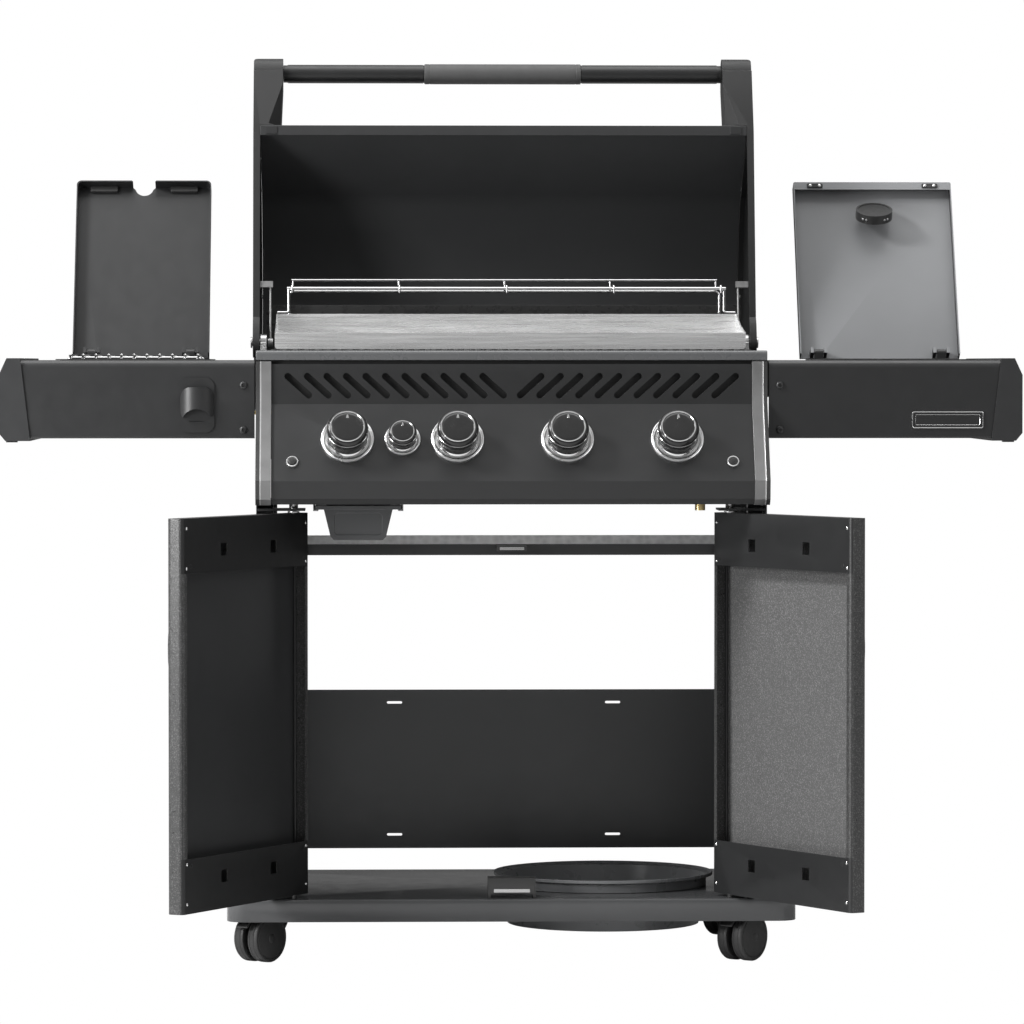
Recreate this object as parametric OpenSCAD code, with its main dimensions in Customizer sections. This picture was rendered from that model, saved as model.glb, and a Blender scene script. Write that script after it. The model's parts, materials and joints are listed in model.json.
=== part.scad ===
// Four-burner gas grill on a closed cart with a side burner and a covered side bin.
// It stands on the floor with its front facing -Y; lid, doors and shelf lids are drawn open.
// Every module is laid out from the front plane of the side shelves, then moved by from_front().

/* [Overall] */
// Width over the two shelf end caps
overall_w = 1585; // [1560:1:1610]
// Height of the side shelf tops above the floor
shelf_top = 936; // [932:1:940]
// Depth of the side shelves and the cart
cart_d = 480; // [476:1:484]
// Thickness of the folded sheet parts
sheet_t = 2; // [1.5:0.1:2.2]

/* [Cart] */
// Width over the cart's side panels
cart_w = 792; // [790:1:796]
// Width of the base shelf
base_w = 884; // [880:1:890]
// Depth of the base shelf
base_d = 502; // [500:1:506]
// Height of the base shelf's top face above the floor
base_top = 101; // [100:0.5:102]
// Height of the base shelf's skirt
base_h = 35; // [33:1:36]
// Corner radius of the base shelf
base_r = 28; // [20:1:34]
// Underside of the front and rear cross rails
rail_z = 632; // [628:1:636]
// Height of a cross rail
rail_h = 16.5; // [14:0.5:18]

/* [Doors] */
// Width of a door
door_w = 385; // [382:1:386]
// Height of a door
door_h = 593; // [588:1:595]
// Thickness of a door
door_t = 28; // [24:1:29]
// Underside of the doors
door_z = 106; // [105:1:108]
// Distance from a door's outer edge to its hinge pin
door_inset = 50; // [46:1:52]
// Angle at which the doors stand open
door_open = 119; // [90:1:122]

/* [Control panel] */
// Width of the folded control panel between its end castings
panel_w = 744; // [740:1:748]
// Top edge of the control panel
panel_top = 931; // [929:1:933]
// Height of the fold between the vent band and the knob face
fold_z = 868; // [866:1:870]
// Height of the fold under the knob face
nose_z = 750; // [748:1:752]
// Bottom edge of the control panel
panel_bottom = 714; // [713:1:716]
// Lean of the knob face from upright
panel_tilt = 30; // [29:0.5:31]
// Spacing of the four main knobs
knob_pitch = 169.7; // [166:0.1:172]
// Height of the knob centres on the face
knob_z = 813; // [811:1:815]
// Radius of a main knob at its base
knob_r = 31; // [29:0.5:33]
// Height of the main knobs above the panel
knob_h = 43; // [40:0.5:45]

/* [Lid] */
// Angle at which the main lid stands open
lid_open = 100; // [80:1:100]
// Distance of the lid pivot behind the front plane
lid_pivot_y = 410; // [408:1:412]
// Height of the lid pivot
lid_pivot_z = 965; // [963:1:967]
// Width of the lid's folded shell
lid_w = 794; // [790:1:794]
// Radius of the handle bar
handle_r = 15.2; // [14:0.1:16]

/* [Side lids] */
// Angle at which the two shelf lids stand open
side_lid_open = 118; // [90:1:119]
// Distance from the hinge pin to the front edge of a shelf lid
side_lid_len = 317; // [310:1:320]
// Width of the burner lid on the left shelf
burner_lid_w = 221; // [216:1:226]
// Width of the bin lid on the right shelf
bin_lid_w = 261; // [256:1:264]

/* [Casters] */
// Radius of a caster wheel
wheel_r = 37.5; // [36:0.5:38]
// Width of one of a caster's two wheels
wheel_w = 19; // [17:0.5:20]
// Distance from swivel axis to axle
trail = 24; // [20:1:24]
// Swivel angle at which the casters stand
swivel = -39; // [-60:1:60]

/* [Hidden] */
$fn = 64;
gap = 0.3;
seam = 0.05;
run = 0.05;
inner_x = cart_w / 2 - sheet_t;

firebox_x = 390;
firebox_y = 12;
firebox_back = 465;
firebox_low = 733;
drain_x = -238;
drain_y = 130;
trim_z = [shelf_top, shelf_top + 15];
grid_top = 953;
burner_z = 803;

pin_x = cart_w / 2 - 8 - door_inset;
door_reach = (door_w - door_inset) * sin(door_open);
door_swing = norm([door_inset - 8, door_t - 8]) + 8;

fold_y = 2;
knob_xs = [for (i = [0:3]) (i - 1.5) * knob_pitch];
small_knob_x = -knob_pitch;
button_x = 339.5;
button_z = 779;
vent_pitch = 30.15;

shelf_in = cart_w / 2 + 2;
shelf_out = overall_w / 2 - 14;
shelf_low = 815;
side_hinge_y = 425;
side_hinge_z = 948;
burner_x = -590;
bin_x = 612;
well_w = 230;
well_y = [112, 402];
bin_lip_z = 942;
lid_pan_z = 960;
inlet_x = 290;

base_y = [-12, base_d - 12];
skirt_z = [base_top - base_h, base_top - sheet_t - seam];
caster_x = 376;
caster_y = [56, 424];
tank_x = 152;
tank_y = 235;

grease_x = -238;
grease_w = 133;
grease_y = [12, 246];

// Outer outline of the lid shell when closed, from its front flange over the top to its rear edge
lid_arc_c = [330, 975];
lid_arc_r = 244;
lid_line = concat(
    [[69, 955], [52, 955]],
    arc(lid_arc_c, lid_arc_r, 145, 48, 14),
    [[500, 1060]]
);
handle_c = [-48, 1020];
grip_x = 129;
lid_back = max([for (p = lid_line) turned_y(p, lid_open)]);
front_y = (door_reach - lid_back) / 2;

// Points of an arc about c, from angle a to angle b
function arc(c, r, a, b, n) = [for (i = [0:n]) let (t = a + (b - a) * i / n) c + r * [cos(t), sin(t)]];
// Y of a closed-lid point after the lid has opened
function turned_y(p, a) = lid_pivot_y
    + (p[0] - lid_pivot_y) * cos(a) + (p[1] - lid_pivot_z) * sin(a);
// Left-hand normal of a segment
function normal(a, b) = let (d = b - a) [-d[1], d[0]] / norm(d);
// Offset of point i of path p by t, mitred at the corners
function mitred(p, i, t) =
    i == 0 ? p[0] + t * normal(p[0], p[1])
    : i == len(p) - 1 ? p[i] + t * normal(p[i - 1], p[i])
    : let (m = normal(p[i - 1], p[i]), n = normal(p[i], p[i + 1])) p[i] + t * (m + n) / (1 + m * n);
// Closed outline of a sheet of thickness t that follows path p on its left
function sheet(p, t) = concat(p, [for (i = [len(p) - 1:-1:0]) mitred(p, i, t)]);
// Y of the knob face at height z
function face_y(z) = fold_y - (fold_z - z) * tan(panel_tilt);

module from_front() { translate([0, front_y, 0]) children(); }
// A Y-Z outline extruded from x0 to x1
module along_x(x0, x1) { translate([x0, 0, 0]) rotate([90, 0, 90]) linear_extrude(x1 - x0) children(); }
// An X-Z outline extruded from y0 to y1
module along_y(y0, y1) { translate([0, y1, 0]) rotate([90, 0, 0]) linear_extrude(y1 - y0) children(); }
module block(low, high) { translate(low) cube(high - low); }
module rod_x(x0, x1, y, z, r) { translate([x0, y, z]) rotate([0, 90, 0]) cylinder(h = x1 - x0, r = r); }
module rod_y(y0, y1, x, z, r) { translate([x, y0, z]) rotate([-90, 0, 0]) cylinder(h = y1 - y0, r = r); }
module rod_z(z0, z1, x, y, r) { translate([x, y, z0]) cylinder(h = z1 - z0, r = r); }
module both_sides() { children(); mirror([1, 0, 0]) children(); }

// Rectangle from low to high with round corners
module round_rect(low, high, r) {
    translate([low[0] + r, low[1]]) square([high[0] - low[0] - 2 * r, high[1] - low[1]]);
    translate([low[0], low[1] + r]) square([high[0] - low[0], high[1] - low[1] - 2 * r]);
    for (x = [low[0] + r, high[0] - r], y = [low[1] + r, high[1] - r]) translate([x, y]) circle(r);
}

// Slot of the given overall length and width along X
module slot(l, w) {
    square([l - w, w], center = true);
    for (s = [-1, 1]) translate([s * (l - w) / 2, 0]) circle(w / 2);
}

// Puts children on the knob face at x and z, with local +Z out of the face
module on_face(x, z) { translate([x, face_y(z), z]) rotate([90 - panel_tilt, 0, 0]) children(); }
// Turns children that are laid out for the closed lid to the drawn, open lid
module lid_opened() {
    translate([0, lid_pivot_y, lid_pivot_z]) rotate([-lid_open, 0, 0])
        translate([0, -lid_pivot_y, -lid_pivot_z]) children();
}
// The same for the two shelf lids
module side_lid_opened() {
    translate([0, side_hinge_y, side_hinge_z]) rotate([-side_lid_open, 0, 0])
        translate([0, -side_hinge_y, -side_hinge_z]) children();
}

// ---- Cart ----

module base_shelf() {
    color("slategray") from_front() {
        difference() {
            translate([0, 0, base_top - sheet_t]) linear_extrude(sheet_t)
                round_rect([-base_w / 2, base_y[0]], [base_w / 2, base_y[1]], base_r);
            rod_z(base_top - 10, base_top + 1, tank_x, tank_y, 161.7);
            for (s = [-1, 1]) rod_z(base_top - 10, base_top + 1, s * pin_x, 0, 4 + run);
        }
        for (y = [base_y[0], base_y[1] - sheet_t])
            block(
                [base_r - base_w / 2 + seam, y, skirt_z[0]],
                [base_w / 2 - base_r - seam, y + sheet_t, skirt_z[1]]
            );
        both_sides() {
            block(
                [base_w / 2 - sheet_t, base_y[0] + base_r + seam, skirt_z[0]],
                [base_w / 2, base_y[1] - base_r - seam, skirt_z[1]]
            );
            skirt_corner(base_y[0] + base_r, 0);
            skirt_corner(base_y[1] - base_r, -base_r - 1);
        }
    }
}

// Rounded corner of the skirt about a centre at y; the half from y + cut upwards is cut away
module skirt_corner(y, cut) {
    x = base_w / 2 - base_r;
    z0 = skirt_z[0] - 1;
    z1 = skirt_z[1] + 1;
    difference() {
        rod_z(skirt_z[0], skirt_z[1], x, y, base_r);
        rod_z(z0, z1, x, y, base_r - sheet_t);
        block([x - base_r - 1, y - base_r - 1, z0], [x, y + base_r + 1, z1]);
        block([x - 1, y + cut, z0], [x + base_r + 1, y + cut + base_r + 1, z1]);
    }
}

// Stiffening channels and caster plates under the base shelf
module base_frame() {
    color("dimgray") from_front() {
        for (x = [-300, -60]) base_channel(x, skirt_z[1]);
        for (sx = [-1, 1], y = caster_y) translate([sx * caster_x, y, 0]) caster_plate();
    }
}

// Stiffening channel under the base shelf, reaching up to z1
module base_channel(x, z1) {
    z0 = z1 - 23;
    along_y(2, base_d - 26) polygon([
        [x, z1], [x, z0], [x + 30, z0], [x + 30, z1],
        [x + 28, z1], [x + 28, z0 + 2], [x + 2, z0 + 2], [x + 2, z1]
    ]);
}

// Fixed top plate and bearing ring of one caster
module caster_plate() {
    difference() {
        translate([-29, -29, 95]) cube([58, 58, skirt_z[1] - 95]);
        rod_z(80, 100, 0, 0, 5 + run);
    }
    difference() {
        rod_z(88.3, 95 - seam, 0, 0, 20);
        rod_z(80, 100, 0, 0, 5 + run);
    }
}

module tank_ring() {
    color("dimgray") from_front() translate([tank_x, tank_y, 0]) {
        rotate_extrude($fn = 96) polygon([
            [172.5, 122], [172.5, 119], [161.8, 117], [159, 101.5], [150.5, 42], [116, 42],
            [116, 40], [152.5, 40], [161.2, 101.3], [164.4, 101.3], [164.4, 114.8], [174.5, 117], [174.5, 122]
        ]);
    }
}

module side_panels() {
    outline = [
        [4, base_top + gap], [cart_d - 2, base_top + gap], [cart_d - 2, shelf_top - 4],
        [16, shelf_top - 4], [16, panel_bottom - 1.5], [4, panel_bottom - 1.5]
    ];
    post_y = door_swing + 6;
    color("darkslategray") from_front() both_sides() {
        along_x(inner_x, cart_w / 2) polygon(outline);
        for (y = [post_y, cart_d - 32]) block([inner_x - 22, y, base_top + gap], [inner_x, y + 2, 712]);
        for (y = [post_y, cart_d - 32]) block([inner_x - 24, y, base_top + gap], [inner_x - 22, y + 22, 712]);
    }
}

module back_panel() {
    color("dimgray") from_front() difference() {
        block([-inner_x + gap, cart_d - 4, 137], [inner_x - gap, cart_d - 2, 397]);
        for (x = [-178.7, 178.7], z = [159.5, 376])
            along_y(cart_d - 6, cart_d) translate([x, z]) slot(25, 4);
    }
}

module frame_rails() {
    front = door_swing + 6;
    color("dimgray") from_front() {
        difference() {
            block([-inner_x + 24 + gap, front, rail_z], [inner_x - 24 - gap, front + 25, rail_z + rail_h]);
            block([-inner_x, front + 2, rail_z - 1], [inner_x, front + 26, rail_z + rail_h - 2]);
        }
        difference() {
            block([-inner_x + gap, cart_d - 5, rail_z], [inner_x - gap, cart_d + 10, rail_z + rail_h + 1]);
            block([-inner_x - 1, cart_d - 3, rail_z - 1], [inner_x + 1, cart_d + 8, rail_z + rail_h - 1]);
            block([-inner_x - 1, cart_d + 7, rail_z - 1], [inner_x + 1, cart_d + 11, rail_z + 6]);
        }
        both_sides() difference() {
            block([pin_x - 18, -14, 703], [inner_x - gap, front - gap, 706]);
            rod_z(700, 710, pin_x, 0, 4 + run);
        }
    }
}

module magnet_catches() {
    front = door_swing + 6;
    color("black") from_front() {
        difference() {
            block([-23, 3, rail_z + 8], [23, front - gap, rail_z + rail_h - 0.5]);
            for (x = [-12, 12]) rod_y(2, 20, x, rail_z + 12, 1.6);
        }
        difference() {
            block([-37, 4, base_top + gap], [37, 40, 132]);
            block([-33, 2, base_top - 1], [33, 41, 108]);
            for (x = [-30, 30]) rod_z(120, 133, x, 24, 2);
        }
    }
}

// ---- Firebox and burners ----

module firebox() {
    low = firebox_low;
    x = firebox_x;
    y0 = firebox_y;
    y1 = firebox_back;
    floor_line = [[-x, 790], [drain_x - 20, low], [drain_x + 20, low], [x, 790]];
    color("gray") from_front() difference() {
        union() {
            difference() {
                block([-x, y0, 788], [x, y1, shelf_top - gap]);
                block([-x + 3, y0 + 3, 700], [x - 3, y1 - 3, shelf_top + 1]);
            }
            for (y = [y0, y1 - 3]) along_y(y, y + 3) polygon(floor_line);
            along_y(y0, y1) polygon(sheet(floor_line, 3));
            block([-x + 3, y1 - 3, shelf_top - 6], [x - 3, y1, 1026]);
        }
        for (bx = knob_xs) rod_y(y0 - 1, y0 + 4, bx, burner_z, 15);
        rod_z(low - 5, low + 8, drain_x, drain_y, 15);
    }
}

module top_trim() {
    color("darkslategray") from_front() {
        difference() {
            union() {
                along_x(-cart_w / 2, cart_w / 2) trim_profile();
                block([-cart_w / 2, 40, trim_z[0]], [-376, firebox_back - 3 - gap, trim_z[1]]);
                block([376, 40, trim_z[0]], [cart_w / 2, firebox_back - 3 - gap, trim_z[1]]);
            }
            block([-376, 50, trim_z[0] - 1], [376, 500, trim_z[1] + 1]);
        }
    }
}

// Front ledge of the trim, rounded along its top front edge
module trim_profile() {
    translate([6, trim_z[0]]) square([44, 15]);
    translate([0, trim_z[0]]) square([6.5, 9]);
    translate([6, trim_z[1] - 6]) circle(6);
}

module control_panel() {
    nose_y = face_y(nose_z);
    line = [
        [nose_y + 24, panel_bottom], [nose_y + 12, panel_bottom], [nose_y + 4, 723],
        [nose_y, nose_z], [fold_y, fold_z], [fold_y, panel_top - 1], [firebox_y - 1, panel_top - 1]
    ];
    color("darkslategray") from_front() difference() {
        along_x(-panel_w / 2, panel_w / 2) polygon(sheet(line, -1.6));
        for (i = [0:10], s = [-1, 1]) translate([s * (29 + i * vent_pitch), 0, 896.4])
            rotate([0, -42 * s, 0]) rotate([90, 0, 0]) linear_extrude(20, center = true) slot(54, 10.5);
        for (x = knob_xs) on_face(x, knob_z) cylinder(h = 30, r = 9, center = true);
        on_face(small_knob_x, knob_z) cylinder(h = 30, r = 7, center = true);
        for (x = [-button_x, button_x]) on_face(x, button_z) cylinder(h = 30, r = 7, center = true);
    }
}

module panel_ends() {
    nose_y = face_y(nose_z);
    color("silver") from_front() both_sides() difference() {
        along_x(panel_w / 2 + gap, cart_w / 2) polygon([
            [nose_y - 4, nose_z + 1], [fold_y - 4, fold_z + 2], [fold_y - 4, shelf_top - 2],
            [firebox_y - 1, shelf_top - 2], [firebox_y - 1, panel_bottom - 1], [nose_y + 8, panel_bottom - 1],
            [nose_y - 1, 722]
        ]);
        along_x(panel_w / 2 - 1, cart_w / 2 - 4) polygon([
            [nose_y + 2, nose_z], [fold_y + 3, fold_z], [fold_y + 3, shelf_top - 8],
            [firebox_y, shelf_top - 8], [firebox_y, panel_bottom + 4], [nose_y + 12, panel_bottom + 4],
            [nose_y + 4, 724]
        ]);
        rod_x(panel_w / 2, cart_w, 7, 855, 4.5);
    }
}

// Bright ring of radius r and height h round a bore
module bezel_ring(r, h, bore) {
    rotate_extrude($fn = 96) polygon([
        [bore, 0], [r, 0], [r, h * 0.35], [r - 2, h * 0.6], [r * 0.82, h], [r * 0.74, h],
        [r * 0.72, h * 0.4], [bore, h * 0.4]
    ]);
}

module knob_bezels() {
    color("white") from_front() {
        for (x = knob_xs) on_face(x, knob_z) bezel_ring(41, 10, 9);
        on_face(small_knob_x, knob_z) bezel_ring(28, 7, 7);
        for (x = [-button_x, button_x]) on_face(x, button_z) difference() {
            cylinder(h = 4, r = 9.3);
            cylinder(h = 20, r = 6.4, center = true);
        }
    }
}

module gas_manifold() {
    pipe_y = -26;
    pipe_z = 771;
    color("goldenrod") from_front() difference() {
        union() {
            rod_x(-330, 330, pipe_y, pipe_z, 11);
            rod_z(722, pipe_z, inlet_x, pipe_y, 8.5);
            rod_z(704, 724, inlet_x, pipe_y, 7.94);
            for (x = knob_xs) valve(x, pipe_y, pipe_z, 10);
            valve(small_knob_x, pipe_y, pipe_z, 9);
            for (x = knob_xs) rod_y(-2, 12, x, burner_z, 3.2);
            rod_y(-2, 7, small_knob_x, 799, 3);
            rod_z(798, 857, small_knob_x, 7, 3);
            rod_x(burner_x, small_knob_x + 2, 7, 855, 3.2);
            rod_y(6, 128, burner_x, 855, 3.1);
        }
        rod_z(700, 730, inlet_x, pipe_y, 4);
        for (x = concat(knob_xs, [small_knob_x])) on_face(x, knob_z) translate([0, 0, -19])
            cylinder(h = 30, r = 4 + run);
    }
}

// Gas valve behind one knob, with its neck down to the manifold pipe
module valve(x, pipe_y, pipe_z, r) {
    on_face(x, knob_z) translate([0, 0, -34]) cylinder(h = 28, r = r);
    translate([x, pipe_y, pipe_z]) rotate([-panel_tilt, 0, 0]) cylinder(h = 27, r = 7);
}

module burner_tubes() {
    color("silver") from_front() for (x = knob_xs) difference() {
        union() {
            rod_y(5, 60, x, burner_z, 13);
            rod_y(58, 430, x, burner_z, 19);
        }
        rod_y(4, 61, x, burner_z, 11.5);
        rod_y(60, 428.5, x, burner_z, 17.5);
        for (y = [80:24:420], s = [-1, 1]) translate([x, y, burner_z + 12])
            rotate([0, s * 55, 0]) cylinder(h = 14, r = 1.5, $fn = 24);
    }
}

module heat_tents() {
    color("silver") from_front() for (x = knob_xs) along_y(40, 440)
        polygon(sheet([[x - 52, 856], [x, 890], [x + 52, 856]], 1.5));
}

module cooking_grids() {
    grid_w = 247;
    bars = 14;
    z1 = grid_top - 0.2;
    color("dimgray") from_front() for (x0 = [-373.5, -123.5, 126.5]) {
        for (y = [54, 434]) block([x0, y, z1 - 14], [x0 + grid_w, y + 8, z1 - 2]);
        for (i = [0:bars]) block(
            [x0 + i * (grid_w - 7) / bars, 54, z1 - 13], [x0 + 7 + i * (grid_w - 7) / bars, 442, z1]
        );
        block([x0, 244, z1 - 13], [x0 + grid_w, 252, z1 - 3]);
    }
}

module griddle_tray() {
    x = 368;
    z = grid_top;
    side = [
        [78, z + 26], [180, z + 38], [240, z + 50], [260, z + 57], [285, z + 57],
        [285, z], [84, z], [78, z + 6]
    ];
    color("lightgray") from_front() {
        block([-x + 2, 80, z], [x - 2, 284, z + 2]);
        along_y(78, 80) round_rect([-x, z], [x, z + 26], 6);
        block([-x, 283, z], [x, 285, z + 57]);
        both_sides() along_x(x - 2, x) polygon(side);
    }
}

module warming_rack() {
    r = 2.5;
    front = 302;
    back = 430;
    cross = [
        [front - 2, 1044], [front - 5, 1050], [front - 2, 1054],
        [back - 4, 1051.5], [back - 1, 1054], [back - 1, 1067]
    ];
    color("silver") from_front() {
        rod_x(-351.5, 351.5, front, 1051, r);
        rod_x(-352.4, 352.4, back, 1048, r - 0.1);
        rod_x(-346, 346, back, 1066, r - 0.4);
        for (x = [-343.8, -171.8, 0, 171.8, 343.8]) along_x(x - 2, x + 2) polygon(sheet(cross, -3));
        both_sides() {
            rod_z(1010, 1051, 349, front, r - 0.1);
            rod_x(346, 367, front, 1012.2, r - 0.2);
            rod_z(grid_top, 1048, 350, back, r - 0.2);
        }
    }
}

module grease_runners() {
    low = [grease_x - grease_w / 2, grease_x + grease_w / 2];
    color("silver") from_front() for (s = [-1, 1]) {
        e = grease_x + s * (grease_w / 2 + 2);
        i = grease_x + s * (grease_w / 2 - 4.5);
        o = grease_x + s * (grease_w / 2 + 12);
        along_y(18, 290) polygon(s < 0
            ? [[e - 1.5, 726], [e - 1.5, 702], [i, 702], [i, 704], [e, 704], [e, 726]]
            : [[e + 1.5, 726], [e, 726], [e, 704], [i, 704], [i, 702], [e + 1.5, 702]]);
        block([min(e, o), 20, 724.5], [max(e, o), 288, 726]);
        for (y = [30, 270]) rod_z(725, s < 0 ? 754.4 : 737, o - s * 5, y, 3);
    }
}

module grease_tub() {
    y0 = grease_y[0];
    y1 = grease_y[1];
    w = grease_w / 2;
    color("dimgray") from_front() translate([grease_x, 0, 0]) difference() {
        union() {
            block([-w, y0, 704.4], [w, y1, 710.4]);
            along_y(y0 + 6, y1 - 8) polygon([
                [-54, 707], [-43, 662], [-38, 657], [38, 657], [43, 662], [54, 707]
            ]);
        }
        along_y(y0 + 9, y1 - 11) polygon([
            [-52, 711.5], [-40.2, 663.2], [-37, 660], [37, 660], [40.2, 663.2], [52, 711.5]
        ]);
        along_y(y0 + 5, y0 + 7) translate([0, 682]) round_rect([-37, -17], [37, 17], 6);
    }
}

// ---- Side shelves ----

// Folded top, front and rear of a shelf from x0 to x1
module shelf_shell(x0, x1) {
    top = shelf_top;
    line = concat(
        [[14, shelf_low]],
        arc([3, shelf_low + 3], 3, 270, 180, 3),
        arc([12, top - 12], 12, 180, 90, 6),
        [[cart_d, top], [cart_d, top - 60]]
    );
    along_x(x0, x1) polygon(sheet(line, -sheet_t));
}

module shelf_well(x) {
    block([x - well_w / 2, well_y[0], shelf_top - 20], [x + well_w / 2, well_y[1], shelf_top + 5]);
}

// Hinge lug for a shelf lid, standing on the shelf
module hinge_lug(x) {
    difference() {
        union() {
            block([x - 7, side_hinge_y - 6, shelf_top - 1], [x + 7, side_hinge_y + 6, side_hinge_z]);
            rod_x(x - 7, x + 7, side_hinge_y, side_hinge_z, 6);
        }
        rod_x(x - 8, x + 8, side_hinge_y, side_hinge_z, 3 + run);
    }
}

module shelf_left() {
    color("darkslategray") from_front() {
        difference() {
            shelf_shell(-shelf_out, -shelf_in);
            shelf_well(burner_x);
        }
        for (s = [-1, 1]) hinge_lug(burner_x + s * 80);
    }
}

module shelf_right() {
    color("darkslategray") from_front() {
        difference() {
            shelf_shell(shelf_in, shelf_out);
            shelf_well(bin_x);
        }
        for (s = [-1, 1]) hinge_lug(bin_x + s * 100);
    }
}

// Drop-in tray under the right shelf lid
module shelf_bin() {
    x = bin_x;
    w = well_w / 2;
    y = well_y;
    color("gray") from_front() difference() {
        union() {
            block([x - w + 1, y[0] + 1, 836], [x + w - 1, y[1] - 1, shelf_top - 1]);
            block([x - w - 8, y[0] - 8, shelf_top + gap], [x + w + 8, y[1] + 8, shelf_top + 1.8]);
            block([x - w + 1, y[0] + 1, 930], [x + w - 1, y[1] - 1, shelf_top + 1]);
        }
        block([x - w + 3, y[0] + 3, 838], [x + w - 3, y[1] - 3, shelf_top + 5]);
    }
}

module shelf_end_caps() {
    x = overall_w / 2;
    color("silver") from_front() both_sides() difference() {
        union() {
            along_y(-3, cart_d + 3) polygon([
                [x - 33, shelf_top + 3], [x - 12, shelf_top + 3], [x, shelf_top - 23], [x, 823],
                [x - 10, 811], [x - 48, 811]
            ]);
            for (y = [30, cart_d - 50]) block([x - 26, y, 808.5], [x - 9, y + 20, 812]);
        }
        block([x - 60, -gap, shelf_low - gap], [shelf_out + gap, cart_d + gap, shelf_top + gap]);
    }
}

module side_burner() {
    y = (well_y[0] + well_y[1]) / 2;
    w = well_w / 2;
    color("gray") from_front() {
        difference() {
            union() {
                block([burner_x - w + 1, well_y[0] + 1, 896],
                    [burner_x + w - 1, well_y[1] - 1, shelf_top - 0.5]);
                block([burner_x - w - 6, well_y[0] - 6, shelf_top + gap],
                    [burner_x + w + 6, well_y[1] + 6, 937.8]);
                block([burner_x - w + 1, well_y[0] + 1, 930],
                    [burner_x + w - 1, well_y[1] - 1, shelf_top + 1]);
            }
            block([burner_x - w + 3, well_y[0] + 3, 898], [burner_x + w - 3, well_y[1] - 3, 950]);
            rod_z(890, 900, burner_x, y, 22);
        }
        difference() {
            union() {
                rod_z(846, 866, burner_x, y, 16);
                rod_z(864, 912, burner_x, y, 21.5);
                rod_z(910, 922, burner_x, y, 42);
                rod_y(112, y, burner_x, 855, 9);
            }
            rod_y(111, y, burner_x, 855, 7.5);
            rod_z(855, 918, burner_x, y, 14);
            for (i = [0:23]) translate([burner_x, y, 916]) rotate([0, 90, i * 15])
                translate([0, 0, 30]) cylinder(h = 15, r = 1.4, $fn = 24);
        }
    }
}

module side_burner_grate() {
    y0 = 150;
    y1 = 364;
    r = 2.5;
    z = 943.5;
    leg_x = 105;
    $fn = 20;
    color("silver") from_front() {
        for (i = [0:10]) let (x = burner_x + (i - 5) * 20) {
            rod_y(y0, y1, x, z, r);
            for (y = [y0 + 3, y1 - 3]) rod_z(938, z, x, y, r - 0.3);
        }
        for (y = [y0 + 24, y1 - 24]) {
            rod_x(burner_x - leg_x, burner_x + leg_x, y, z - 4, r);
            for (s = [-1, 1]) {
                rod_z(898 + gap, z - 4, burner_x + s * leg_x, y, r);
                translate([burner_x + s * leg_x, y, z - 4]) sphere(r + 0.1);
            }
        }
    }
}

// Plate with a bulged hood over a mouth that is open downwards, and a tongue in the mouth
module bottle_opener() {
    x = -487.2;
    z0 = 824;
    bulge = 34;
    hood_y = -17;
    color("darkslategray") from_front() {
        difference() {
            along_y(-2.8, -gap) round_rect([x - 27, z0], [x + 27, z0 + 85], 14);
            along_y(-3, 0) round_rect([x - 15, z0 + 17], [x + 15, z0 + 40], 6);
        }
        intersection() {
            difference() {
                along_y(hood_y, -2.5) round_rect([x - 25.5, z0 + 18], [x + 25.5, z0 + 70], 16);
                intersection() {
                    along_y(hood_y, -2.8) round_rect([x - 23, z0], [x + 23, z0 + 66], 13);
                    rod_z(z0, z0 + 85, x, hood_y + bulge, bulge - 2.5);
                }
                along_y(hood_y - 1, -6) translate([x, z0 + 12]) circle(24.5);
            }
            rod_z(z0, z0 + 85, x, hood_y + bulge, bulge);
        }
        block([x - 6, -2.8, z0 + 26], [x + 6, -gap, z0 + 41]);
    }
}

module badge_plate() {
    color("silver") from_front() along_y(-1.8, -gap) round_rect([620.5, 830], [732.5, 857], 2);
}

module shelf_bolts() {
    color("darkslategray") from_front() both_sides() for (z = [828, 897]) translate([415.5, 0, z])
        rotate([90, 0, 0]) rotate_extrude() polygon([
            [0, gap], [6, gap], [6, 1.6], [4.6, 3.2], [2.2, 3.8], [2.2, 2.4], [0, 2.4]
        ]);
}

// ---- Main lid, laid out closed and then turned open ----

module lid_pivots() {
    y = lid_pivot_y;
    z = lid_pivot_z;
    color("silver") from_front() both_sides() {
        block([386, y - 22, trim_z[1] + gap], [396, y + 22, z]);
        rod_x(386, 396, y, z, 13.5);
        rod_x(390, 411, y, z, 6);
        rod_x(409.4, 412, y, z, 9);
    }
}

module lid_shell() {
    color("dimgray") from_front() lid_opened()
        along_x(-lid_w / 2, lid_w / 2) polygon(sheet(lid_line, -2.5));
}

// Y-Z outline of a lid end, with its arm out to the handle and its pivot boss
module lid_end_outline(edge) {
    polygon(concat(
        [[60, 955], [-46, 985]],
        arc(handle_c, 25, 265, 75, 10),
        [[40, 1058], [108, 1083]],
        arc(lid_arc_c, lid_arc_r + edge, 145, 48, 14),
        [[504, 1062], [494, 1056], [420, 1046], [lid_pivot_y + 25, lid_pivot_z]],
        arc([lid_pivot_y, lid_pivot_z], 25, -10, -90, 4),
        [[385, 945], [370, 955]]
    ));
}

module lid_ends() {
    x = lid_w / 2 + gap;
    out = x + 11;
    color("silver") from_front() lid_opened() both_sides() difference() {
        union() {
            intersection() {
                along_x(x, out) lid_end_outline(3);
                lid_end_plan([[x - 1, -90]], out);
            }
            intersection() {
                along_x(360, out) lid_end_outline(3);
                lid_end_plan([[364, 51], [360.5, -24], [360.5, -90]], out, 51);
            }
        }
        arm_chamfer();
        along_x(x - 1, x + 8.5) lid_end_pocket();
        rod_x(x - 1, x + 12, lid_pivot_y, lid_pivot_z, 6 + run);
    }
}

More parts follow.
